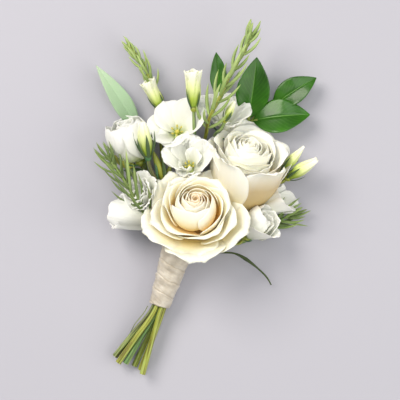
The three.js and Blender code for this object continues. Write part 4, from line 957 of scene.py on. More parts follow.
# Each loose path becomes a round stem as thick as its points say. skin keeps where on the round a point lies.
def stemTree():
    tree, source, result = newTree("roundStems", [("Sides", "NodeSocketInt", 12),
                                                  ("Material", "NodeSocketMaterial", None)])
    path = addNode(tree, "GeometryNodeMeshToCurve", {"Mesh": source["Geometry"]})
    profile = addNode(tree, "GeometryNodeCurvePrimitiveCircle",
                      {"Resolution": source["Sides"], "Radius": 0.001})
    place = addNode(tree, "GeometryNodeInputPosition")
    unit = addNode(tree, vectorKind, {0: place, "Scale": 1000.0}, operation="SCALE")
    profile = addNode(tree, storeKind, {"Geometry": profile, "Name": "skin", "Value": unit},
                      data_type="FLOAT_VECTOR", domain="POINT")
    thick = addNode(tree, namedKind, {"Name": "thick"}, data_type="FLOAT")
    tube = addNode(tree, "GeometryNodeCurveToMesh", {"Curve": path, "Profile Curve": profile, "Scale": thick,
                                                     "Fill Caps": True})
    smooth = addNode(tree, "GeometryNodeSetShadeSmooth", {"Geometry": tube, "Shade Smooth": True})
    real = addNode(tree, "GeometryNodeRealizeInstances", {"Geometry": smooth})
    dressed = addNode(tree, "GeometryNodeSetMaterial", {"Geometry": real, "Material": source["Material"]})
    tree.links.new(dressed, result[0])
    return tree


# Each loose point grows a slender pointed leaf: aim is the way it points, bend the way it arches towards,
# reach its length and girth its half width in metres.
def slenderLeafTree():
    tree, source, result = newTree("slenderLeaves", [
        ("Sides", "NodeSocketInt", 6), ("Segments", "NodeSocketInt", 7),
        ("Flatness", "NodeSocketFloat", 0.42), ("Arch", "NodeSocketFloat", 0.1),
        ("Material", "NodeSocketMaterial", None)])
    aim, bend = (addNode(tree, namedKind, {"Name": name}, data_type="FLOAT_VECTOR")
                 for name in ("aim", "bend"))
    reach, girth, along = (addNode(tree, namedKind, {"Name": name}, data_type="FLOAT")
                           for name in ("reach", "girth", "along"))
    blade = addNode(tree, "GeometryNodeMeshCone", {
        "Vertices": source["Sides"], "Side Segments": source["Segments"], "Radius Top": 1.0,
        "Radius Bottom": 1.0, "Depth": 1.0})
    place = addNode(tree, "GeometryNodeInputPosition")
    level = addNode(tree, "ShaderNodeSeparateXYZ", {0: place}, "Z")
    taper = addNode(tree, mathKind, {0: level, 1: 2.6}, operation="POWER")
    taper = addNode(tree, mathKind, {0: 1.02, 1: taper}, operation="SUBTRACT")
    swell = addNode(tree, mathKind, {0: level, 1: 0.7, 2: 0.6}, operation="MULTIPLY_ADD")
    width = addNode(tree, mathKind, {0: taper, 1: swell}, operation="MULTIPLY")
    share = addNode(tree, "ShaderNodeCombineXYZ", {"X": width, "Y": width, "Z": 1.0})
    narrowed = addNode(tree, vectorKind, {0: place, 1: share}, operation="MULTIPLY")
    blade = addNode(tree, "GeometryNodeSetPosition", {"Geometry": blade, "Position": narrowed})
    blade = addNode(tree, storeKind, {"Geometry": blade, "Name": "along", "Value": level},
                    data_type="FLOAT", domain="POINT")
    turned = addNode(tree, "FunctionNodeAxesToRotation", {"Primary Axis": aim, "Secondary Axis": bend},
                     primary_axis="Z", secondary_axis="Y")
    depth = addNode(tree, mathKind, {0: girth, 1: source["Flatness"]}, operation="MULTIPLY")
    size = addNode(tree, "ShaderNodeCombineXYZ", {"X": girth, "Y": depth, "Z": reach})
    roots = addNode(tree, "GeometryNodeMeshToPoints", {"Mesh": source["Geometry"]})
    leaves = addNode(tree, "GeometryNodeInstanceOnPoints", {"Points": roots, "Instance": blade,
                                                            "Rotation": turned, "Scale": size})
    leaves = addNode(tree, "GeometryNodeRealizeInstances", {"Geometry": leaves})
    angle = addNode(tree, mathKind, {0: along, 1: math.pi}, operation="MULTIPLY")
    arch = addNode(tree, mathKind, {0: angle}, operation="SINE")
    arch = addNode(tree, mathKind, {0: arch, 1: source["Arch"]}, operation="MULTIPLY")
    arch = addNode(tree, mathKind, {0: arch, 1: reach}, operation="MULTIPLY")
    lift = addNode(tree, vectorKind, {0: bend, "Scale": arch}, operation="SCALE")
    arched = addNode(tree, "GeometryNodeSetPosition", {"Geometry": leaves, "Offset": lift})
    smooth = addNode(tree, "GeometryNodeSetShadeSmooth", {"Geometry": arched, "Shade Smooth": True})
    real = addNode(tree, "GeometryNodeRealizeInstances", {"Geometry": smooth})
    dressed = addNode(tree, "GeometryNodeSetMaterial", {"Geometry": real, "Material": source["Material"]})
    tree.links.new(dressed, result[0])
    return tree


roundStems = stemTree()
slenderLeaves = slenderLeafTree()


# A smooth curve through points of [x, y, z, radius].
def smoothPath(points, perSpan=8):
    points = np.array(points, float)
    ends = [2 * points[0] - points[1], *points, 2 * points[-1] - points[-2]]
    found = []
    for i in range(len(points) - 1):
        p0, p1, p2, p3 = ends[i:i + 4]
        gaps = [max(np.linalg.norm((b - a)[:3]) ** 0.5, 1e-3) for a, b in ((p0, p1), (p1, p2), (p2, p3))]
        t1 = ((p1 - p0) / gaps[0] - (p2 - p0) / (gaps[0] + gaps[1]) + (p2 - p1) / gaps[1]) * gaps[1]
        t2 = ((p2 - p1) / gaps[1] - (p3 - p1) / (gaps[1] + gaps[2]) + (p3 - p2) / gaps[2]) * gaps[1]
        for t in np.arange(perSpan) / perSpan:
            here = (p1 + t1 * t + (-3 * p1 + 3 * p2 - 2 * t1 - t2) * t * t
                    + (2 * p1 - 2 * p2 + t1 + t2) * t ** 3)
            here[3] = p1[3] + (p2[3] - p1[3]) * t
            found.append(here)
    found.append(points[-1])
    return np.array(found)


def growStems(name, paths, tone, material, sides=12):
    points, edges, thick, grown = [], [], [], []
    for number, path in enumerate(paths):
        fine = smoothPath(path)
        start = len(points)
        lengths = np.concatenate([[0], np.cumsum(np.linalg.norm(np.diff(fine[:, :3], axis=0), axis=1))])
        points.extend(toFrame(fine[:, :3]).tolist())
        thick.extend(fine[:, 3])
        grown.extend(lengths + (number > 0))  # only the first path shows a pale cut end
        edges.extend((start + i, start + i + 1) for i in range(len(fine) - 1))
    mesh = bpy.data.meshes.new(name)
    mesh.from_pydata(points, edges, [])
    for key, values in (("thick", thick), ("grown", grown), ("tone", [tone] * len(points))):
        storeNumbers(mesh, key, values)
    return runTree(name, mesh, roundStems, {"Sides": sides, "Material": material})


# Leaves are dictionaries of root, aim and bend in picture axes, reach and girth in mm, and tone.
def growLeaves(name, leaves, material, **sizes):
    origin = toFrame(np.zeros((1, 3)))
    mesh = bpy.data.meshes.new(name)
    mesh.from_pydata(toFrame([leaf["root"] for leaf in leaves]).tolist(), [], [])
    for key in ("aim", "bend"):
        ways = (toFrame([leaf[key] for leaf in leaves]) - origin) * 1000
        ways /= np.maximum(np.linalg.norm(ways, axis=1, keepdims=True), 1e-9)
        layer = mesh.attributes.new(key, "FLOAT_VECTOR", "POINT")
        layer.data.foreach_set("vector", ways.astype(np.float32).ravel())
    for key, scale in (("reach", 0.001), ("girth", 0.001), ("tone", 1)):
        storeNumbers(mesh, key, [leaf[key] * scale for leaf in leaves])
    storeNumbers(mesh, "grown", [wellGrown] * len(leaves))
    return runTree(name, mesh, slenderLeaves, {**sizes, "Material": material})


# A slender leaf from root to tip, arching up off the table.
def straightLeaf(root, tip, width, tone):
    root, tip = np.array(root, float), np.array(tip, float)
    reach = np.linalg.norm(tip - root)
    aim = (tip - root) / reach
    bend = np.array([0, 0, 1.0]) - aim * aim[2]
    return {"root": root, "aim": aim, "bend": bend, "reach": reach, "girth": width / 2, "tone": tone}


# A point of the handle: along from the tie to the cut ends, to the right, and up off the table.
def handlePoint(along, right, up):
    lean, slope = math.radians(layout["lean"]), math.radians(layout["slope"])
    down = np.array([-math.sin(lean) * math.cos(slope), -math.cos(lean) * math.cos(slope), -math.sin(slope)])
    side = np.array([math.cos(lean), -math.sin(lean), 0])
    return np.array([0, 0, layout["tieHeight"]]) + down * along + side * right + np.cross(down, side) * up


# Where each full-length stem stands in the handle, and where its cut end lies: mm down, to the right and up.
handleSlots = {
    "frontRose": {"angle": 60, "end": (56.2, 2.6, 1.8), "tone": 0.85},
    "rightSpray": {"angle": 0, "end": (55.4, 1.3, -1.8), "tone": 0.9},
    "leafBranch": {"angle": -60, "end": (54.8, -2, -3.2), "tone": 0.72},
    "topSpray": {"angle": -120, "end": (50.8, -5.5, -2.6), "tone": 0.2},
    "leftSpray": {"angle": 180, "end": (53, -11.6, -0.6), "tone": 0.05},
    "tallRosemary": {"angle": 120, "end": (54.8, -9.3, 1.8), "tone": 0.6},
    "backRose": {"angle": 0, "ring": 0, "end": (54.2, -6.1, 0.9), "tone": 0.4},
}
stemSizes = {
    "ring": 2.45,  # mm from the handle's middle to its stems, and the rest are radii
    "inWrap": 1.0, "middle": 1.18, "cutEnd": 1.35, "stalk": 0.8, "underRose": 1.25,
}


def handleRun(slot):
    radius = slot.get("ring", stemSizes["ring"])
    right, up = radius * math.cos(math.radians(slot["angle"])), radius * math.sin(math.radians(slot["angle"]))
    end, bend = slot["end"], layout["wrapLength"] + 3
    middle = [(a + b) / 2 for a, b in zip(end, (bend, right, up))]
    run = [(end, stemSizes["cutEnd"]), (middle, stemSizes["middle"])]
    for along in (bend, layout["wrapLength"] / 2, -layout["aboveTie"] * 0.8):
        run.append(((along, right, up), stemSizes["inWrap"]))
    return [[*handlePoint(*place), thick] for place, thick in run]


# The green under a flower: its swollen foot and slender sepals that stand open degrees from its axis.
calyxDefaults = {"gap": 0.5, "foot": 1.7, "depth": 2.6, "sepals": 3, "length": 8, "open": 60, "width": 1.5,
                 "start": 25, "tone": 0.8, "sepalTone": 0.3}
budCalyx = {"foot": 1.7, "depth": 2.2, "length": 10, "open": 17, "width": 1.4, "start": 45, "sepals": 4,
            "sepalTone": 0.12}
roseCalyx = {"foot": 3, "depth": 3.6, "sepals": 5, "length": 11, "open": 100, "width": 3.2}


def intoFlower(flower, options, radius):
    c = {**calyxDefaults, **options}
    depths = (c["depth"] + 2.5, c["depth"] * 0.6)
    return [[*placeIn(flower, [0, 0, -c["gap"] - depth]), radius] for depth in depths]


def calyxFoot(flower, options):
    c = {**calyxDefaults, **options}
    low, foot = -c["gap"] - c["depth"], c["foot"]
    profile = [(foot * 0.4, low), (foot * 0.7, low + c["depth"] * 0.25), (foot, low + c["depth"] * 0.7),
               (foot * 0.95, -c["gap"] * 0.7), (foot * 0.5, 0.1)]
    return turnedPart(flower, profile, 18, tone=c["tone"], grown=wellGrown)


def calyxSepals(flower, options):
    c = {**calyxDefaults, **options}
    axes, base = flowerAxes(flower)
    opened = math.radians(c["open"])
    sepals = []
    for i in range(c["sepals"]):
        turn = 2 * math.pi * i / c["sepals"] + math.radians(c["start"])
        out, up = np.array([math.cos(turn), math.sin(turn), 0]), np.array([0, 0, 1.0])
        root = out * c["foot"] * 0.6 - up * (c["gap"] + c["depth"] * 0.5)
        sepals.append({"root": axes @ root + base,
                       "aim": axes @ (out * math.sin(opened) + up * math.cos(opened)),
                       "bend": axes @ (out * math.cos(opened) - up * math.sin(opened)),
                       "reach": c["length"] * (0.92 + 0.08 * (i % 3)), "girth": c["width"] / 2,
                       "tone": c["sepalTone"]})
    return sepals


# A branching stem: the trunk from its cut end, a stalk to each flower with its calyx, and on some a few
# bracts, given as root, tip, width and tone, and thin twigs. A rose has no stalk and ends the trunk itself.
def buildSpray(node, spray):
    slot = handleSlots[spray["slot"]]
    paths, feet, sepals = [handleRun(slot) + [list(point) for point in spray["trunk"]]], [], []
    for flower, start, options in spray["stalks"]:
        if start:
            paths.append([list(point) for point in start] + intoFlower(flower, options, stemSizes["stalk"]))
        else:
            paths[0] += intoFlower(flower, options, stemSizes["underRose"])
        feet.append(calyxFoot(flower, options))
        sepals += calyxSepals(flower, options)
    paths += spray.get("twigs", [])
    sepals += [straightLeaf(*bract) for bract in spray.get("bracts", [])]
    return joinObjects(node + "Green", [
        growStems(node + "Stems", paths, slot["tone"], finish["stemGreen"]),
        buildObject(node + "Feet", feet, finish["stemGreen"]),
        growLeaves(node + "Sepals", sepals, finish["stemGreen"], Arch=0.08, Flatness=0.4)])


sprays = {
    "frontRoseStem": {"slot": "frontRose", "trunk": [(4.6, 6.2, 12.2, 1.1)], "stalks": [
        (roses["frontRosePetals"], None, roseCalyx),
    ]},
    "backRoseStem": {"slot": "backRose", "trunk": [
        (4.6, 9, 8, 1.1), (12, 16.6, 5.6, 1.1), (20, 22.6, 4.8, 1.2),
    ], "stalks": [
        (roses["backRosePetals"], None, {**roseCalyx, "start": 55}),
    ]},
    "leftSpray": {"slot": "leftSpray", "trunk": [
        (-4.2, 10, 9, 1), (-8.4, 20, 6.2, 1), (-10.6, 30, 5.6, 0.9),
    ], "stalks": [
        (blooms["leftBloom"], [(-10, 27, 5.8, 0.9), (-11.4, 33, 5.4, 0.9)],
         {"foot": 2.4, "length": 12, "open": 58, "sepals": 5, "width": 2}),
        (blooms["smallLeftBloom"], [(-6.4, 14, 7.4, 0.8), (-7.4, 20, 6.6, 0.8)], {}),
        (blooms["lowerLeftBloom"], [(-3.6, 7, 8.8, 0.8), (-2.6, 11, 8.2, 0.8)], {}),
        (buds["middleLeftBud"], [(-7.6, 18, 6.6, 0.9), (-6.6, 25, 8.4, 0.8), (-8, 31, 15, 0.8)],
         {**budCalyx, "sepals": 6, "length": 12.5, "width": 2.1, "tone": 0.3}),
    ], "bracts": [
        ((-5.4, 32, 12.6), (-10.4, 46.4, 17.6), 4.2, 0.85), ((-4.6, 31.4, 13), (-6, 44, 18.6), 2.2, 0.1),
        ((-8, 31.5, 14.6), (-9.6, 44, 17), 1.6, 0.2), ((-4.4, 31, 11.6), (-2.4, 41, 14.6), 3, 0.8),
        ((-19, 38.4, 9), (-29, 44.2, 11), 5.4, 0.98), ((-11.4, 34.6, 7.4), (-23.6, 37.6, 10), 6, 0.12),
        ((-10.2, 30, 7), (-20.6, 37, 12.4), 2.4, 0.05), ((-8.6, 27, 8.4), (-12.6, 39.6, 14), 2, 0.1),
        ((-8.4, 24, 8), (-3.2, 33, 12.6), 2.2, 0.15), ((-9, 20.6, 16.6), (-12.2, 28, 20), 3.4, 0.92),
    ], "twigs": [
        [(-12.9, -23.4, 7.6, 0.2), (-14.6, -26.4, 8.4, 0.2), (-18.6, -31.4, 7, 0.18),
         (-20.6, -35, 4.6, 0.15)],
    ]},
    "topSpray": {"slot": "topSpray", "trunk": [
        (1.6, 12, 5.8, 1), (3.4, 25, 5.6, 1), (3.4, 38, 5.2, 0.9),
    ], "stalks": [
        (blooms["middleBloom"], [(3.4, 23, 5.7, 0.8), (5, 28, 5.2, 0.8)], {}),
        (blooms["topBloom"], [(3.4, 36, 5.2, 0.8), (3, 42, 5.2, 0.8)], {}),
        (blooms["upperRightBloom"], [(3.4, 34, 5.4, 0.8), (10, 39.4, 5.8, 0.8), (17, 46, 3.6, 0.8)], {}),
        (buds["leftTopBud"], [(3.3, 36, 5.2, 0.8), (-1.6, 48, 3.4, 0.8), (-4.2, 57, 4.8, 0.8)], budCalyx),
        (buds["tallBud"], [(3.4, 37, 5.2, 0.8), (6.6, 45, 4.6, 0.8), (8.2, 50, 8.4, 0.8),
                           (8.2, 53, 14.6, 0.8), (8, 55.6, 18.2, 0.8)], budCalyx),
        (buds["tuckedBud"], [(10, 39.4, 5.8, 0.8), (15.8, 48.6, 6, 0.8), (17.6, 54, 14, 0.7)],
         {**budCalyx, "foot": 1.2, "length": 6, "sepals": 3}),
    ]},
    "rightSpray": {"slot": "rightSpray", "trunk": [
        (5.4, 6, 8.6, 1), (11.6, 6, 6, 1), (19, 5.6, 5.8, 1), (27, 10, 4.4, 0.9),
    ], "stalks": [
        (blooms["rightBloom"], [(18, 5.8, 5.8, 0.8), (24, 5, 6.4, 0.8)], {"foot": 2.2, "open": 45}),
        (blooms["rearRightBloom"], [(26, 9, 4.6, 0.8), (30, 16.4, 4, 0.8)], {}),
        (buds["rightUpperBud"], [(26, 9, 4.6, 0.8), (31, 18.6, 3, 0.8), (36, 27, 1.6, 0.8), (41, 34, 4, 0.8)],
         {**budCalyx, "foot": 1.4}),
        (buds["rightLowerBud"], [(41, 34, 4, 0.8), (43.6, 33, 7, 0.8)], budCalyx),
    ], "bracts": [
        ((41, 22, 7), (50, 19.6, 9.4), 2.4, 0.25),
    ]},
}
for node, spray in sprays.items():
    handIn(buildSpray(node, spray), node)
print("stems, calyxes and sepals ready")


# Rosemary: pairs of needles at right angles to the pair below, shorter towards the tip.

needleHabit = {
    "firstTurn": 20, "turnSpread": 40, "leanSpread": 12,  # degrees
    "shortening": 0.45, "lengthSpread": 0.3,              # shares of a needle's length
}
# where a short stem is tucked in at the tie: mm down the handle, mm out from its middle, and its radius
tuckedStops = ((-0.5, 5.3, 0.4), (-5, 5.6, 0.4), (-8, 5.8, 0.5))


def tuckedIn(turn):
    right, up = math.cos(math.radians(turn)), math.sin(math.radians(turn))
    return [[*handlePoint(along, radius * right, radius * up), thick] for along, radius, thick in tuckedStops]


# from is the number of the path's point, counted from its foot, at which the needles begin
rosemaries = {
    "tallRosemary": {
        "path": [*handleRun(handleSlots["tallRosemary"]), [-2.6, 13.4, 9.6, 1], [-1.4, 20.6, 4.8, 0.9],
                 [3.4, 30.6, 1.9, 0.9], [10, 43.6, 2.2, 0.9], [13, 52.6, 11, 0.85], [14.6, 60, 19.4, 0.8],
                 [19.4, 70, 22, 0.75], [25.4, 82, 23.4, 0.7], [31, 92, 24.6, 0.65], [33.4, 98, 25.2, 0.5]],
        "from": 9.5, "pairs": 15, "length": 15, "width": 2.2, "open": (28, 15), "seed": 11, "stemTone": 0.9,
        "tones": (0.65, 1),
    },
    "topLeftRosemary": {
        "path": [*tuckedIn(258), [-2, 16, 3, 0.6], [-5.6, 34, 1.9, 0.75], [-7.4, 52, 2, 0.7],
                 [-9.4, 66, 3.6, 0.7], [-11.4, 77, 8, 0.7], [-16.4, 86.6, 10.4, 0.65],
                 [-21.6, 93.4, 11.6, 0.5]],
        "from": 6.7, "pairs": 11, "length": 10.5, "width": 1.8, "open": (20, 11), "seed": 5, "stemTone": 0.9,
        "tones": (0.8, 1),
    },
    "leftRosemary": {
        "path": [*tuckedIn(172), [-8.6, 11.6, 14, 0.7], [-13.4, 17.4, 17.4, 0.75], [-18.2, 25, 18.6, 0.75],
                 [-23.4, 33.4, 17.6, 0.7], [-28, 40, 16.4, 0.65], [-30, 43, 16, 0.5]],
        "from": 3.9, "pairs": 14, "length": 16, "width": 1.6, "open": (30, 22), "seed": 23, "stemTone": 0.6,
        "tones": (0, 0.4),
        "extra": [((-16.4, 22, 18.4), (-18.8, 38.4, 23.6), 1.8, 0.3),
                  ((-20, 28, 18.6), (-22.2, 46.6, 22), 1.8, 0.75)],
    },
    "rightRosemary": {
        "path": [*tuckedIn(-42), [14, 5, 3, 0.6], [29, 5, 2, 0.7], [40, 11, 3.4, 0.65], [47, 15.4, 5.6, 0.6],
                 [51.6, 17.6, 6.8, 0.45]],
        "from": 5.3, "pairs": 6, "length": 15, "width": 1.7, "open": (30, 16), "seed": 41, "stemTone": 0.5,
        "tones": (0, 0.6),
        "extra": [((44, 13, 5), (52.6, 12.2, 4.4), 2.8, 0.0), ((46, 14.6, 6), (59.4, 12.4, 5.4), 1.1, 0.35)],
    },
}
for node, sprig in rosemaries.items():
    rng = random.Random(sprig["seed"])
    fine = smoothPath(sprig["path"], 24)
    needles = [straightLeaf(*needle) for needle in sprig.get("extra", [])]
    for i in range(sprig["pairs"]):
        share = i / (sprig["pairs"] - 1)
        place = sprig["from"] / (len(sprig["path"]) - 1) * (1 - share) + 0.985 * share
        index = min(int(place * (len(fine) - 1)), len(fine) - 2)
        root, along = fine[index, :3], fine[index + 1, :3] - fine[index, :3]
        along /= np.linalg.norm(along)
        right = np.cross(along, [0, 0, 1])
        right /= np.linalg.norm(right)
        up = np.cross(right, along)
        for half in (0, 180):
            spread = (rng.random() - 0.5) * needleHabit["turnSpread"]
            turn = math.radians(half + needleHabit["firstTurn"] + i * 90 + spread)
            out = right * math.cos(turn) + up * math.sin(turn) * 0.8
            opened = sprig["open"][0] * (1 - share) + sprig["open"][1] * share
            lean = math.radians(opened + (rng.random() - 0.5) * needleHabit["leanSpread"])
            reach = sprig["length"] * (1 - needleHabit["shortening"] * share ** 1.5)
            reach *= 0.85 + rng.random() * needleHabit["lengthSpread"]
            needles.append({"root": root, "aim": along * math.cos(lean) + out * math.sin(lean),
                            "bend": out * math.cos(lean) - along * math.sin(lean), "reach": reach,
                            "girth": sprig["width"] / 2, "tone": rng.uniform(*sprig["tones"])})
    handIn(joinObjects(node + "Sprig", [
        growStems(node + "Stem", [sprig["path"]], sprig["stemTone"], finish["stemGreen"], 10),
        growLeaves(node + "Needles", needles, finish["rosemaryGreen"], Arch=0.09, Flatness=0.8, Sides=7)]),
        node)
print("rosemary ready:", len(rosemaries))


# Leaves: blades arched from base to tip and folded at the midrib, with a slightly wavy edge.

leafDefaults = {"widest": 0.45, "wave": 0.22, "groove": 0.25, "leastHalf": 0.15}
glossySkin = {"thickness": 0.5, "cells": (28, 34)}
paleSkin = {"thickness": 0.45, "cells": (22, 34)}
glossyLeaves = [
    {"base": (18.6, 71, 4.4), "tip": (17.8, 90.4, 8), "halfWidth": 4, "arch": 1.2, "fold": 0.7,
     "face": (0.35, 0, 1)},
    {"base": (32.4, 61, 3.4), "tip": (36, 88, 10.5), "halfWidth": 7.6, "arch": 2, "fold": 1.5,
     "face": (0.08, -0.1, 1)},
    {"base": (43.4, 66.8, 4), "tip": (62.8, 79, 7.5), "halfWidth": 6.2, "arch": 1.6, "fold": 0.9,
     "face": (-0.15, 0.22, 1)},
    {"base": (34.4, 60, 4.8), "tip": (59.8, 62.4, 9), "halfWidth": 8, "arch": 2.2, "fold": 1,
     "face": (-0.05, 0.28, 1)},
]
leafTwigs = [
    [(30, 55, 2.8, 0.8), (24, 60, 1.8, 0.7), (19.4, 67, 2.6, 0.7), (18.6, 73, 5, 0.6)],
    [(33, 59, 3.4, 0.8), (38, 64, 2.4, 0.7), (43.4, 66.8, 3.6, 0.7), (46, 68.4, 4.7, 0.6)],
    [(32, 57, 3, 0.9), (33.6, 59.4, 3.9, 0.7), (36.6, 60.2, 5.6, 0.7)],
    [(32, 57, 3, 0.9), (32.3, 60, 3.4, 0.7), (32.9, 64, 4.9, 0.7)],
]
leafTrunk = [[5.6, 8.6, 3.8, 1], [15, 22, 1.9, 1], [25, 42, 1.7, 1], [32, 57.5, 3.1, 0.9]]
paleBlade = {"base": (-18, 57, 4.4), "tip": (-36, 84.4, 9.5), "halfWidth": 4.6, "arch": 1.5, "fold": 0.9,
             "face": (0.3, 0.1, 1), "widest": 0.36}
paleStalk = [*tuckedIn(224), [-6.6, 15, 3.8, 0.6], [-12, 31, 0.75, 0.8], [-14, 38, 0.75, 0.8],
             [-17, 53, 3.2, 0.75], [-20, 60, 5.6, 0.6]]
grassPath = [*tuckedIn(14), [12, 1.6, 10.8, 0.42], [19, 0.8, 10.6, 0.42], [26, 0.3, 10, 0.42],
             [31, -2.2, 9.2, 0.85], [36.4, -6.4, 7.4, 0.42], [40.6, -10.6, 5.4, 0.42], [42.6, -14, 4, 0.3]]


def leafSurface(leaf):
    blade = {**leafDefaults, **leaf}
    start, end = np.array(blade["base"], float), np.array(blade["tip"], float)
    along = (end - start) / np.linalg.norm(end - start)
    face = np.array(blade["face"], float)
    up = face - along * along.dot(face)
    up /= np.linalg.norm(up)
    side = np.cross(along, up)
    skew = math.log(0.5) / math.log(blade["widest"])

    def surface(u, v):
        shape = np.maximum(np.sin(math.pi * v ** skew), 0) ** 0.85
        half = np.maximum(blade["halfWidth"] * shape, blade["leastHalf"])
        wave = blade["wave"] * np.sin(5 * math.pi * v + 1.5 * np.sign(u)) * u * u * shape
        groove = -blade["groove"] * np.exp(-(u / 0.07) ** 2) * shape
        rise = blade["arch"] * np.sin(math.pi * v) + blade["fold"] * np.abs(u) ** 1.25 * shape + wave + groove
        return start + (end - start) * v[..., None] + side * (half * u)[..., None] + up * rise[..., None]

    return surface


handIn(joinObjects("leafBranchGlossy", [
    buildObject("leafBranchLeaves", [skinPart(leafSurface(leaf), glossySkin) for leaf in glossyLeaves],
                finish["glossyGreen"]),
    growStems("leafBranchStems", [handleRun(handleSlots["leafBranch"]) + leafTrunk, *leafTwigs],
              handleSlots["leafBranch"]["tone"], finish["stemGreen"])]), "leafBranch")
handIn(joinObjects("paleLeafLong", [
    buildObject("paleLeafBlade", [skinPart(leafSurface(paleBlade), paleSkin)], finish["paleGreen"]),
    growStems("paleLeafStalk", [paleStalk], 0.6, finish["stemGreen"])]), "paleLeaf")
handIn(growStems("grassBladeArch", [grassPath], 0.1, finish["grassGreen"], 8), "grassBlade")
print("leaves ready")


# Pistils: a stout stigma with stamens round it.

pistils = {"topPistil": (blooms["topBloom"], 1.0), "middlePistil": (blooms["middleBloom"], 0.8)}
# Pairs are mm out from an axis and mm up it. A pistil's size widens its stigma and the stamens' spread.
stigma = [(0.5, 4.4), (0.9, 5.1), (1.25, 5.8), (1.3, 6.2), (0.9, 7.0), (0.35, 7.5)]
anther = [(0.1, -0.7), (0.38, -0.4), (0.42, 0.1), (0.3, 0.5), (0.1, 0.7)]
stamen = {"count": 6, "root": (0.5, 5.0), "tip": (2.4, 7.6), "turnSpread": 10, "heightSpread": 0.3,
          "radius": 0.28}
for seed, (node, (flower, size)) in enumerate(pistils.items()):
    rng = random.Random(seed)
    knob = [(radius * size, height) for radius, height in stigma]
    axes, base = flowerAxes(flower)
    stamens, anthers = [], []
    for i in range(stamen["count"]):
        spread = rng.uniform(-stamen["turnSpread"], stamen["turnSpread"])
        turn = math.radians(i * 360 / stamen["count"] + 30 + spread)
        out = np.array([math.cos(turn), math.sin(turn), 0])
        height = stamen["tip"][1] + rng.uniform(-stamen["heightSpread"], stamen["heightSpread"])
        root = out * stamen["root"][0] + [0, 0, stamen["root"][1]]
        tip = out * stamen["tip"][0] * size + [0, 0, height]
        aim = (tip - root) / np.linalg.norm(tip - root)
        stamens.append({"root": axes @ root + base, "aim": axes @ aim, "bend": axes @ np.array([0, 0, 1.0]),
                        "reach": np.linalg.norm(tip - root), "girth": stamen["radius"], "tone": 0.5})
        anthers.append(turnedPart({"base": axes @ tip + base, "axis": axes @ aim}, anther, 8, along=1.0))
    handIn(joinObjects(node + "Eye", [
        buildObject(node + "Knob", [turnedPart(flower, knob, 18), *anthers], finish["pistilGreen"]),
        growLeaves(node + "Stamens", stamens, finish["pistilGreen"], Arch=0.05, Flatness=0.8)]),
        node)
print("pistils ready")


# The handle: floral tape under a ribbon wound in five turns, each over the edge of the one before.

ribbon = {
    "bore": [(-8, 6.9), (0, 6.25), (12, 5.0), (24, 4.0), (27, 3.95)],  # mm down the handle, and the radius
    "thickness": 0.7, "turns": 5, "turnHeight": 0.45, "crease": 1.3, "sides": 140, "rows": 160,
    "slant": 14, "slantRadius": 5.5,  # degrees that the turns slant, on a handle of this radius
    "start": 6.8, "spare": 3.6,       # mm that the turns lie further up, and mm wound beyond the sleeve
}
tape = {"radius": 3.9, "thickness": 0.6, "length": 12, "wrinkle": 2.2, "sides": 48, "rows": 40}


# A closed sleeve round the handle from [along, radius] pairs down the outside and back up the bore.
def sleevePart(outer, inner, sides):
    turn = np.linspace(0, 2 * math.pi, sides, endpoint=False)
    profile = outer + inner[::-1]
    rings = np.array([[handlePoint(along, radius * math.cos(a), radius * math.sin(a)) for a in turn]
                      for along, radius in profile])
    return {"points": rings.reshape(-1, 3), "faces": ringFaces(len(profile), sides, len(profile) * sides),
            "grown": np.repeat([along for along, _ in profile], sides)}
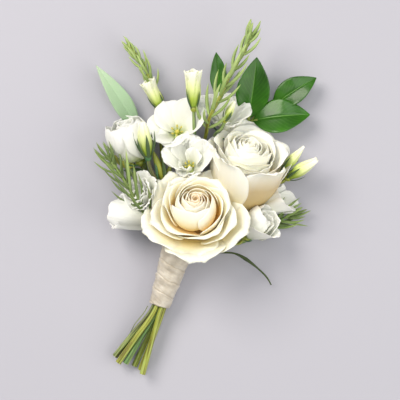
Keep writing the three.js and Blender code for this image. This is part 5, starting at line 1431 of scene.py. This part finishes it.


# Lifts the outer wall into slanting turns with soft creases. wound is how many mm of the winding lie above a
# point, and the creases run nearly along the band. It stores crease, a painted shade beside each turn's
# raised edge and in the deepest folds.
def ribbonTurnTree():
    tree, source, result = newTree("ribbonTurns", [
        ("Pitch", "NodeSocketFloat", 6.0), ("Turn height", "NodeSocketFloat", 0.0004),
        ("Crease depth", "NodeSocketFloat", 0.0003), ("Crease width", "NodeSocketFloat", 2.2),
        ("Crease length", "NodeSocketFloat", 0.009), ("Material", "NodeSocketMaterial", None)])
    wound, outside = (addNode(tree, namedKind, {"Name": name}, data_type="FLOAT")
                      for name in ("wound", "outside"))
    place = addNode(tree, "GeometryNodeInputPosition")
    long = addNode(tree, mathKind, {0: 1.0, 1: source["Crease length"]}, operation="DIVIDE")
    aroundBand = addNode(tree, vectorKind, {0: place, "Scale": long}, operation="SCALE")
    wide = addNode(tree, mathKind, {0: wound, 1: source["Crease width"]}, operation="DIVIDE")
    lowered = addNode(tree, "ShaderNodeCombineXYZ", {"Y": wide})
    coordinates = addNode(tree, vectorKind, {0: aroundBand, 1: lowered}, operation="ADD")
    noise = addNode(tree, noiseKind, {"Vector": coordinates, "Scale": 1.0, "Detail": 2.5})
    broad = addNode(tree, vectorKind, {0: place, "Scale": 160.0}, operation="SCALE")
    wobble = addNode(tree, noiseKind, {"Vector": broad, "Scale": 1.0, "Detail": 1.0})
    wandering = addNode(tree, mathKind, {0: wobble, 1: 2.4, 2: wound}, operation="MULTIPLY_ADD")
    turns = addNode(tree, mathKind, {0: wandering, 1: source["Pitch"]}, operation="DIVIDE")
    share = addNode(tree, mathKind, {0: turns}, operation="FRACT")
    slope = addNode(tree, mathKind, {0: share, 1: -0.75, 2: 1.0}, operation="MULTIPLY_ADD")
    edge = addNode(tree, mathKind, {0: share, 1: 0.07}, operation="DIVIDE")
    edge = addNode(tree, mathKind, {0: edge, 1: 1.0}, operation="MINIMUM")
    step = addNode(tree, mathKind, {0: slope, 1: edge}, operation="MULTIPLY")
    step = addNode(tree, mathKind, {0: step, 1: source["Turn height"]}, operation="MULTIPLY")
    crease = addNode(tree, mathKind, {0: noise, 1: 0.5}, operation="SUBTRACT")
    lift = addNode(tree, mathKind, {0: crease, 1: source["Crease depth"], 2: step}, operation="MULTIPLY_ADD")
    lift = addNode(tree, mathKind, {0: lift, 1: outside}, operation="MULTIPLY")
    normal = addNode(tree, "GeometryNodeInputNormal")
    offset = addNode(tree, vectorKind, {0: normal, "Scale": lift}, operation="SCALE")
    moved = addNode(tree, "GeometryNodeSetPosition", {"Geometry": source["Geometry"], "Offset": offset})
    # painted shade beside the raised edge of each turn and in the deepest folds, stored as crease
    left = addNode(tree, mathKind, {0: 1.0, 1: share}, operation="SUBTRACT")
    left = addNode(tree, mathKind, {0: left, 1: -8.0, 2: 1.0}, operation="MULTIPLY_ADD", use_clamp=True)
    deep = addNode(tree, mathKind, {0: crease, 1: -2.2}, operation="MULTIPLY", use_clamp=True)
    turnEdgeAndCreaseShade = addNode(tree, mathKind, {0: left, 1: deep}, operation="MAXIMUM")
    marked = addNode(tree, storeKind, {"Geometry": moved, "Name": "crease", "Value": turnEdgeAndCreaseShade},
                     data_type="FLOAT", domain="POINT")
    real = addNode(tree, "GeometryNodeRealizeInstances", {"Geometry": marked})
    dressed = addNode(tree, "GeometryNodeSetMaterial", {"Geometry": real, "Material": source["Material"]})
    tree.links.new(dressed, result[0])
    return tree


def boreAt(along):
    return float(np.interp(along, *zip(*ribbon["bore"])))


stations = np.linspace(-layout["aboveTie"], layout["wrapLength"], ribbon["rows"]).tolist()
outerWall = [(along, boreAt(along) + ribbon["thickness"] * 0.75) for along in stations]
bore = [(along, boreAt(along)) for along in [*stations[::6], stations[-1]]]
sleeve = sleevePart(outerWall, bore, ribbon["sides"])
around = np.tile(np.linspace(0, 2 * math.pi, ribbon["sides"], endpoint=False), len(outerWall) + len(bore))
outside = np.arange(len(around)) < len(outerWall) * ribbon["sides"]
sleeveShape = buildObject("ribbonSleeve", [sleeve], finish["ribbonCream"])
slope = math.tan(math.radians(ribbon["slant"]))
wound = sleeve["grown"] + ribbon["start"] - np.cos(around) * ribbon["slantRadius"] * slope
for key, values in (("wound", wound), ("outside", outside)):
    storeNumbers(sleeveShape.data, key, values)
ribbonShape = runTree("ribbonWound", sleeveShape.data, ribbonTurnTree(), {
    "Pitch": (layout["wrapLength"] + layout["aboveTie"] + ribbon["spare"]) / ribbon["turns"],
    "Turn height": ribbon["turnHeight"] * 0.001, "Crease depth": ribbon["crease"] * 0.001,
    "Material": finish["ribbonCream"]})
bpy.data.objects.remove(sleeveShape)
handIn(ribbonShape, "ribbonWrap")

levels = np.linspace(-layout["aboveTie"], tape["length"], tape["rows"]).tolist()
tapeOuter = [(along, tape["radius"] + tape["thickness"] * (0.9 + 0.1 * math.sin(along * tape["wrinkle"])))
             for along in levels]
tapeInner = [(along, tape["radius"]) for along in (levels[0], levels[-1])]
handIn(buildObject("floralTapeWound", [sleevePart(tapeOuter, tapeInner, tape["sides"])],
                   finish["tapeGreen"]), "floralTape")
print("handle ready")
